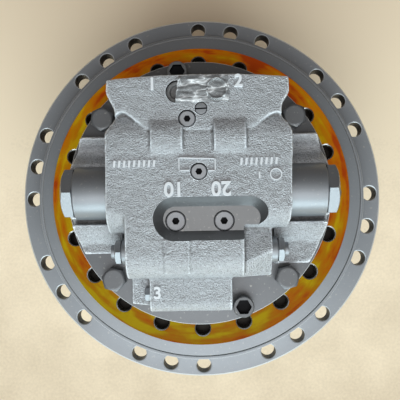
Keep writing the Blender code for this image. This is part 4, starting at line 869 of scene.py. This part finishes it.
def side_forms():
    """Lugs and feet beside the relief valves' bosses, which end on the base's round edge."""
    crest = flowing(
        (59, 9), (56.5, 12), (51, 7.5), (45.5, 1), (39.5, 1.5), (33, 9), (27.5, 13), (10, 13)
    )
    lug = above_base(crest) + [(10 * MM, ROOT), (59 * MM, ROOT)]
    slope = millimetres((-10, 13), (-26, 13), (-27.5, 3), (-31.5, 3))
    slope += flowing((-32.5, 13.5), (-36, 13), (-46, 8), (-53, 3.5))
    forms = []
    for side, inner, outer, toe in ((-1, 80, 140, -62.5), (1, 76, 140, -75)):
        ends = sorted((side * inner, side * outer))
        foot = above_base(slope) + [(toe * MM, BASE_TOP + 5 * MM), (toe * MM, ROOT), (-10 * MM, ROOT)]
        for name, outline in (("lug", lug), ("foot", foot)):
            form = slab(name, outline, *ends)
            edge = cylinder("edge", 135 * MM, ROOT - MM, TOP, steps=120)
            forms.append(machined(form, edge, operation="INTERSECT"))
    return forms


def softened(name, forms, material):
    """One casting of all the forms: edges and inner corners get a founder's fillet, and broad
    faces the slight unevenness of a sand mould."""
    casting = joined(name, forms, material)
    remesh = casting.modifiers.new("One skin", "REMESH")
    remesh.mode = "VOXEL"
    remesh.voxel_size = CAST_VOXEL
    smooth = casting.modifiers.new("Fillets", "SMOOTH")
    smooth.factor = 0.5
    smooth.iterations = 5
    settled(casting)
    places = []
    for point in casting.data.vertices:
        swell = noise.noise(point.co / (14 * MM)) * 0.25 * MM
        swell += noise.noise(point.co / (4 * MM)) * 0.10 * MM
        places.extend(point.co + point.normal * swell)
    casting.data.vertices.foreach_set("co", places)
    casting.data.materials.clear()
    casting.data.materials.append(material)
    casting.data.shade_smooth()
    return casting


rear_cover = softened("valve_block_casting", cast_forms(), grey_cast)
# A darker copy of the grey paint for the recess: painted shade in it.
shaded_recess_paint = smooth_paint("paint_in_recess", (0.17, 0.175, 0.18), (0.24, 0.25, 0.26), 0.36, 0.8)
PLUG_GAP = 0.7 * MM
PLUGS = {
    "gallery_plug": (8.0 * MM, TOP),
    "middle_plug": (7.8 * MM, TOP),
    "bleed_screw": (5.6 * MM, TOP),
    "recess_plug_west": (9.6 * MM, TOP - 11 * MM),
    "recess_plug_east": (9.6 * MM, TOP - 11 * MM),
    "port_plug_a": (10.5 * MM, TOP),
    "port_plug_b": (10.5 * MM, TOP),
}
SEATS = {f"cover_bolt_{i}": 13.9 * MM for i in (1, 2, 3, 4)}
SEATS.update({f"cover_screw_{i}": 12 * MM for i in (1, 2)})

# The recess over the two gauge ports has round ends and drafted walls.
rings = []
for radius, z in ((12 * MM, TOP - 11 * MM), (21.5 * MM, TOP + 0.5 * MM), (21.5 * MM, TOP + 9 * MM)):
    outline = bow((48 * MM, -28 * MM), (radius, radius), -90, 90, 24)
    outline += bow((-23.2 * MM, -28 * MM), (radius, radius), 90, 270, 24)
    rings.append([(x, y, z) for x, y in outline])
cutters = [stacked("recess", rings, shaded_recess_paint)]
for name, (radius, face) in PLUGS.items():
    bore = (radius + PLUG_GAP, face - 12 * MM, TOP + 5 * MM, bore_shade_paint)
    cutters.append(cylinder(name, *bore, centre=middle_of(name)[:2]))
for name, radius in SEATS.items():
    seat = (radius, BASE_TOP + 0.2 * MM, TOP + 5 * MM, grey_smooth)
    cutters.append(cylinder(name, *seat, centre=middle_of(name)[:2]))
machined(rear_cover, *cutters, solver="MANIFOLD")
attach(rear_cover, "root")

# A darker copy of the grey paint for the base, the cover bolts and the cover screws: painted shade.
shaded_base_paint = smooth_paint("grey_paint_on_base", (0.105, 0.11, 0.115), (0.155, 0.16, 0.17), 0.4, 0.5)
bearing_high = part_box("shaft_bearing_upper")[1]
BEARING_SEAT = bearing_high.x + 0.4 * MM
profile = [
    (0, BASE_TOP, 0),
    (BASE_RADIUS, BASE_TOP, 1.5 * MM),
    (BASE_RADIUS, BASE_LOW, 0.6 * MM),
    (59.5 * MM, BASE_LOW, 0),
    (59.5 * MM, SPIGOT_LOW, 0),
    (BEARING_SEAT, SPIGOT_LOW, 0),
    (BEARING_SEAT, bearing_high.z + 0.4 * MM, 0),
    (0, bearing_high.z + 0.4 * MM, 0),
]
rear_base = turned("valve_block_base", profile, 200, shaded_base_paint)
faces_where(
    rear_base,
    edge_highlight_paint,
    lambda centre, normal: centre.xy.length > BASE_RADIUS - 1.6 * MM and 0.25 < normal.z < 0.95,
)
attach(rear_base, "root")
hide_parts("rear_cover")


# Relief valves: a smooth turned boss on each side of the block, and in it the valve's cartridge
# with a large painted hexagon.
def lying(piece, side, level, northing=0.0):
    """Lays an upright piece along X, its top to the west (-1) or the east (1)."""
    turn = Matrix.Rotation(side * math.pi / 2, 4, "Y")
    piece.data.transform(Matrix.Translation((0, northing, level)) @ turn)
    return piece


RELIEF_ACROSS = 48 * MM
SIDES = {"west": -1, "east": 1}
BOSS_ENDS = {"west": 127.5 * MM, "east": 129.5 * MM}
VALVE_ENDS = {"west": 139 * MM, "east": 140.5 * MM}
for name, side in SIDES.items():
    end = BOSS_ENDS[name]
    profile = [(0, end, 0), (BOSS_RADIUS - 2.2 * MM, end, 0), (BOSS_RADIUS, end - 1.6 * MM, 0.5 * MM)]
    profile += [(BOSS_RADIUS, 84 * MM, 0), (0, 84 * MM, 0)]
    boss = turned("relief_boss_" + name, profile, 120, grey_smooth)
    lying(boss, side, BOSS_LEVEL)
    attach(boss, "root")
    valve = hex_bolt_head(
        "relief_hexagon_" + name, RELIEF_ACROSS, end + 0.1 * MM, VALVE_ENDS[name], grey_smooth, 0.95, 10
    )
    lying(valve, side, BOSS_LEVEL)
    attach(valve, "root")
    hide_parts("relief_valve_" + name)


# Spool caps: a collar, a hexagon and a round tip on both ends of the counterbalance spool, and a
# small hexagon cap at the west end of the pilot block.
def spool_cap(name, side, level, northing, parts):
    """Parts are (kind, size, start, end). They overlap a little, as one turned piece."""
    pieces = []
    for kind, size, start, end in parts:
        if kind == "hexagon":
            pieces.append(hex_bolt_head("part", size, start, end, grey_smooth, 0.93))
        else:
            pieces.append(cylinder("part", size, start, end, grey_smooth, fillet=0.5 * MM, steps=64))
    cap = lying(joined(name, pieces, grey_smooth), side, level, northing)
    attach(cap, "root")
    return cap


for name, side in SIDES.items():
    low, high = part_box("spool_cap_" + name)
    middle = middle_of("spool_cap_" + name)
    end = max(-low.x, high.x)
    parts = [
        ("round", 13 * MM, end - 18 * MM, end - 11.4 * MM),
        ("round", 9.5 * MM, end - 11.8 * MM, end - 9.9 * MM),
        ("hexagon", 23 * MM, end - 10.2 * MM, end - 4.2 * MM),
        ("round", 7 * MM, end - 4.6 * MM, end),
    ]
    cap = spool_cap("spool_cap_turned_" + name, side, middle.z, middle.y, parts)
    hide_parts("spool_cap_" + name)
low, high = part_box("speed_spool_cap")
middle = middle_of("speed_spool_cap")
parts = [("hexagon", 13 * MM, -high.x + 2.7 * MM, -low.x), ("round", 6.8 * MM, -high.x, -high.x + 3 * MM)]
cap = spool_cap("speed_cap_turned", -1, middle.z, middle.y, parts)
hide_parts("speed_spool_cap")


# Fasteners and flush plugs of the rear cover. All are painted with the block, and their sockets and
# the narrow gaps round them are painted near-black: painted shade.
HEX_ACROSS = 22 * MM
BOLT_ANGLES = (37.7, 142.2, 224.8, 314.9)
# Near-black for hex sockets and the screw's slit: painted shade inside them.
socket_black, tree, shader = plain_material("socket_black", (0.012, 0.012, 0.014), 0.6)
soot = noise_of(tree, object_place(tree), 300.0)
feed(tree, shader.inputs["Roughness"], worked(tree, "MULTIPLY_ADD", soot, 0.3, 0.45))
feed(tree, shader.inputs["Specular IOR Level"], 0.08)

for i, degrees in enumerate(BOLT_ANGLES, 1):
    name = f"cover_bolt_{i}"
    head_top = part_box(name)[1].z
    bolt = hex_bolt_head(name + "_head", HEX_ACROSS, BASE_TOP + 0.3 * MM, head_top, shaded_base_paint, 0.9)
    bolt.data.transform(Matrix.Rotation(math.radians(degrees), 4, "Z"))
    bolt.data.transform(Matrix.Translation((*middle_of(name)[:2], 0)))
    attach(bolt, "root")
    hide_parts(name)

plug_paint = smooth_paint("paint_on_plugs", (0.26, 0.27, 0.285), (0.36, 0.375, 0.40), 0.4, 0.45)
SCREW_TOP = BASE_TOP + 14 * MM
SOCKETS = {
    "cover_screw_1 cover_screw_2": (10.7 * MM, 14 * MM, SCREW_TOP, 0.9 * MM, shaded_base_paint, "grey_paint"),
    "gallery_plug": (8.0 * MM, 6 * MM, TOP - 0.4 * MM, MM, plug_paint, "machined_steel"),
    "middle_plug": (7.8 * MM, 6 * MM, TOP - 0.4 * MM, MM, plug_paint, "machined_steel"),
    "recess_plug_west recess_plug_east": (
        9.6 * MM, 6.6 * MM, TOP - 11.2 * MM, 1.1 * MM, plug_paint, "machined_steel",
    ),
}
for names, (radius, across, top, chamfer, paint, slot) in SOCKETS.items():
    for name in names.split():
        plug = socket_plug(
            name + "_painted", radius, across, top - 10 * MM, top, 6 * MM, chamfer, paint,
            socket_black, centre=middle_of(name)[:2],
        )
        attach(plug, "root")
        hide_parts(name)

place = middle_of("bleed_screw")
screw = cylinder(
    "bleed_screw_painted", 5.6 * MM, TOP - 9 * MM, TOP - 0.3 * MM, grey_smooth, fillet=0.5 * MM
)
slit = prism(
    "slit", millimetres((-8, -0.7), (8, -0.7), (8, 0.7), (-8, 0.7)), TOP - 2.2 * MM, TOP + MM, socket_black
)
machined(screw, slit)
screw.data.transform(Matrix.Translation((*place[:2], 0)) @ Matrix.Rotation(math.radians(2), 4, "Z"))
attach(screw, "root")
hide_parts("bleed_screw")


# Main ports: a moulded shipping plug in each, and over both a scrap of clear wrinkled film, stuck
# down on the port face. It hangs loose at the west end.
port_plastic, tree, shader = plain_material("port_plastic", (0.42, 0.43, 0.43), 0.4)
scuffs = noise_of(tree, object_place(tree), 420.0)
feed(tree, shader.inputs["Base Color"], mixed(tree, scuffs, (0.03, 0.03, 0.03), (0.22, 0.22, 0.22)))
bumped(tree, shader, scuffs, 0.1 * MM)
for letter in "ab":
    name = "port_plug_" + letter
    low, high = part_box(name)
    middle = middle_of(name)
    profile = [
        (0, high.z - 5 * MM, 0),
        (6.5 * MM, high.z - 5 * MM, 0),
        (7.5 * MM, high.z - 0.8 * MM, 0.5 * MM),
        (9 * MM, high.z - 0.8 * MM, 0),
        (9.4 * MM, high.z, 0.3 * MM),
        (high.x - middle.x, high.z - 0.6 * MM, 0.3 * MM),
        (high.x - middle.x, low.z, 0),
        (0, low.z, 0),
    ]
    plug = turned(name + "_moulded", profile, 64, port_plastic, centre=middle[:2])
    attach(plug, "root")
    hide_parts(name)

clear_film, tree, shader = plain_material("clear_film", (0.66, 0.69, 0.71), 0.16)
drawn = linked(
    tree, "ShaderNodeMapping", Vector=object_place(tree), Rotation=(0, 0, math.radians(-8)),
    Scale=(0.28, 1.0, 1.0),
)
folds = noise_of(tree, drawn.outputs[0], 150.0)
crease = worked(tree, "ABSOLUTE", worked(tree, "MULTIPLY_ADD", folds, 2.0, -1.0))
crease = worked(tree, "POWER", worked(tree, "SUBTRACT", 1.0, crease), 14.0)
feed(tree, shader.inputs["Base Color"], mixed(tree, crease, (0.26, 0.27, 0.28), (0.85, 0.88, 0.90)))
feed(tree, shader.inputs["Alpha"], worked(tree, "MULTIPLY_ADD", crease, 0.50, 0.46))
bumped(tree, shader, folds, 0.6 * MM)

FILM_COLUMNS = 120
FILM_ROWS = 56
FILM_WEST = (-21.0, -17.5)
FILM_EAST = (30.5, 28.0)
FILM_SOUTH = 84.6
FILM_NORTH = 110.6
COVERED_PORT = (19.6, 97)
PORT_LIP = 9.6
shape = bmesh.new()
rows = []
for row in range(FILM_ROWS + 1):
    t = row / FILM_ROWS
    y = FILM_SOUTH + (FILM_NORTH - FILM_SOUTH) * t
    bulge = 2.6 * math.sin(math.pi * t)
    west = FILM_WEST[0] + (FILM_WEST[1] - FILM_WEST[0]) * t + 1.2 * noise.noise(Vector((0, y / 4, 0)))
    east = FILM_EAST[0] + (FILM_EAST[1] - FILM_EAST[0]) * t + bulge
    edge = min(1.0, 8 * min(t, 1 - t))
    line = []
    for column in range(FILM_COLUMNS + 1):
        s = column / FILM_COLUMNS
        x = west + (east - west) * s
        slant = 1.4 * (s - 0.5) * t - 0.8 * (1 - t) * (1 - s)
        lift = 1.0 + 0.9 * noise.noise(Vector((x / 22, y / 5, 1.0)))
        lift += 0.6 * noise.noise(Vector((x / 7, y / 3, 5.0)))
        from_lip = math.dist((x, y), COVERED_PORT) - PORT_LIP
        lift += 1.3 * math.exp(-((from_lip / 1.1) ** 2))
        lift += 2.6 * math.exp(-((s / 0.05) ** 2)) * (0.4 + t)
        z = TOP + (0.4 + max(0.0, lift) * (0.25 + 0.75 * edge)) * MM
        line.append(shape.verts.new((x * MM, (y + slant) * MM, z)))
    rows.append(line)
for near, far in zip(rows, rows[1:]):
    for column in range(FILM_COLUMNS):
        shape.faces.new((near[column], near[column + 1], far[column + 1], far[column]))
film = piece_of("port_film", shape, clear_film)
thin = film.modifiers.new("Thickness", "SOLIDIFY")
thin.thickness = 0.08 * MM
thin.offset = 1.0
settled(film)
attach(film, "root")


# Raised marks of the casting: plain port numbers, two rows of short plain bars, a blank frame and
# a blank ring. They stand where the drive carries its letters and numbers, and name nobody.
MARK_RELIEF = 1.5 * MM
BAR_TOP = TOP + 1.3 * MM
# The marks are painted much paler than the block: a painted highlight on their raised strokes.
marks_highlight_paint = smooth_paint("thin_paint_on_marks", (0.62, 0.65, 0.68), (0.78, 0.81, 0.84), 0.5, 0.0)


def raised_number(text, height, centre, level, turn=0.0):
    """Plain cast figures that stand up from a face."""
    curve = bpy.data.curves.new("figures", "FONT")
    curve.body = text
    curve.align_x = "CENTER"
    curve.align_y = "CENTER"
    curve.size = height * 1.38 * MM
    curve.extrude = MARK_RELIEF
    curve.bevel_depth = 0.3 * MM
    curve.bevel_resolution = 1
    curve.offset = 0.3 * MM
    curve.resolution_u = 4
    holder = new_object("figures", curve)
    graph = bpy.context.evaluated_depsgraph_get()
    figures = new_object("figures", bpy.data.meshes.new_from_object(holder.evaluated_get(graph)))
    bpy.data.objects.remove(holder)
    place = Matrix.Translation((centre[0] * MM, centre[1] * MM, level))
    figures.data.transform(place @ Matrix.Rotation(math.radians(turn), 4, "Z"))
    return figures


def bar(start, end, width=1.1):
    """A raised line between two points, in millimetres."""
    along = (Vector(end) - Vector(start)).normalized()
    aside = Vector((-along.y, along.x)) * width / 2
    corners = [Vector(start) - aside, Vector(end) - aside, Vector(end) + aside, Vector(start) + aside]
    return prism("bar", [corner * MM for corner in corners], TOP - MM, BAR_TOP)


RING = [(5.9 * MM, BAR_TOP, 0), (5.9 * MM, TOP - MM, 0), (4.8 * MM, TOP - MM, 0), (4.8 * MM, BAR_TOP, 0)]
marks = [
    raised_number("1", 12, (-43, 102.5), TOP),
    raised_number("2", 12, (40.5, 104), TOP),
    raised_number("10", 14, (-23.5, 1.2), TOP, 180),
    raised_number("20", 14, (22.0, 1.2), TOP, 180),
    bar((59, 9.5), (59, 16), 1.6),
    raised_number("3", 12, (-43.4, -102.3), BASE_TOP + 20 * MM),
    bar((-18.2, 30.6), (16.8, 29.2)),
    bar((-18.2, 30.9), (-18.2, 18.2)),
    bar((16.6, 29.6), (16.6, 17.6)),
    bar((-18.6, 18.4), (-8.6, 18.4)),
    bar((9.8, 17.8), (17.0, 17.8)),
    *(bar((-81 + 4.8 * i, 22.6), (-80.2 + 4.8 * i, 29), 2.2) for i in range(9)),
    *(bar((41.5 + 4.8 * i, 23), (42.3 + 4.8 * i, 29.6), 2.2) for i in range(8)),
    turned("ring", RING, 48, centre=(74.8 * MM, 13.3 * MM)),
]
raised_marks = joined("raised_marks", marks, marks_highlight_paint)
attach(raised_marks, "root")
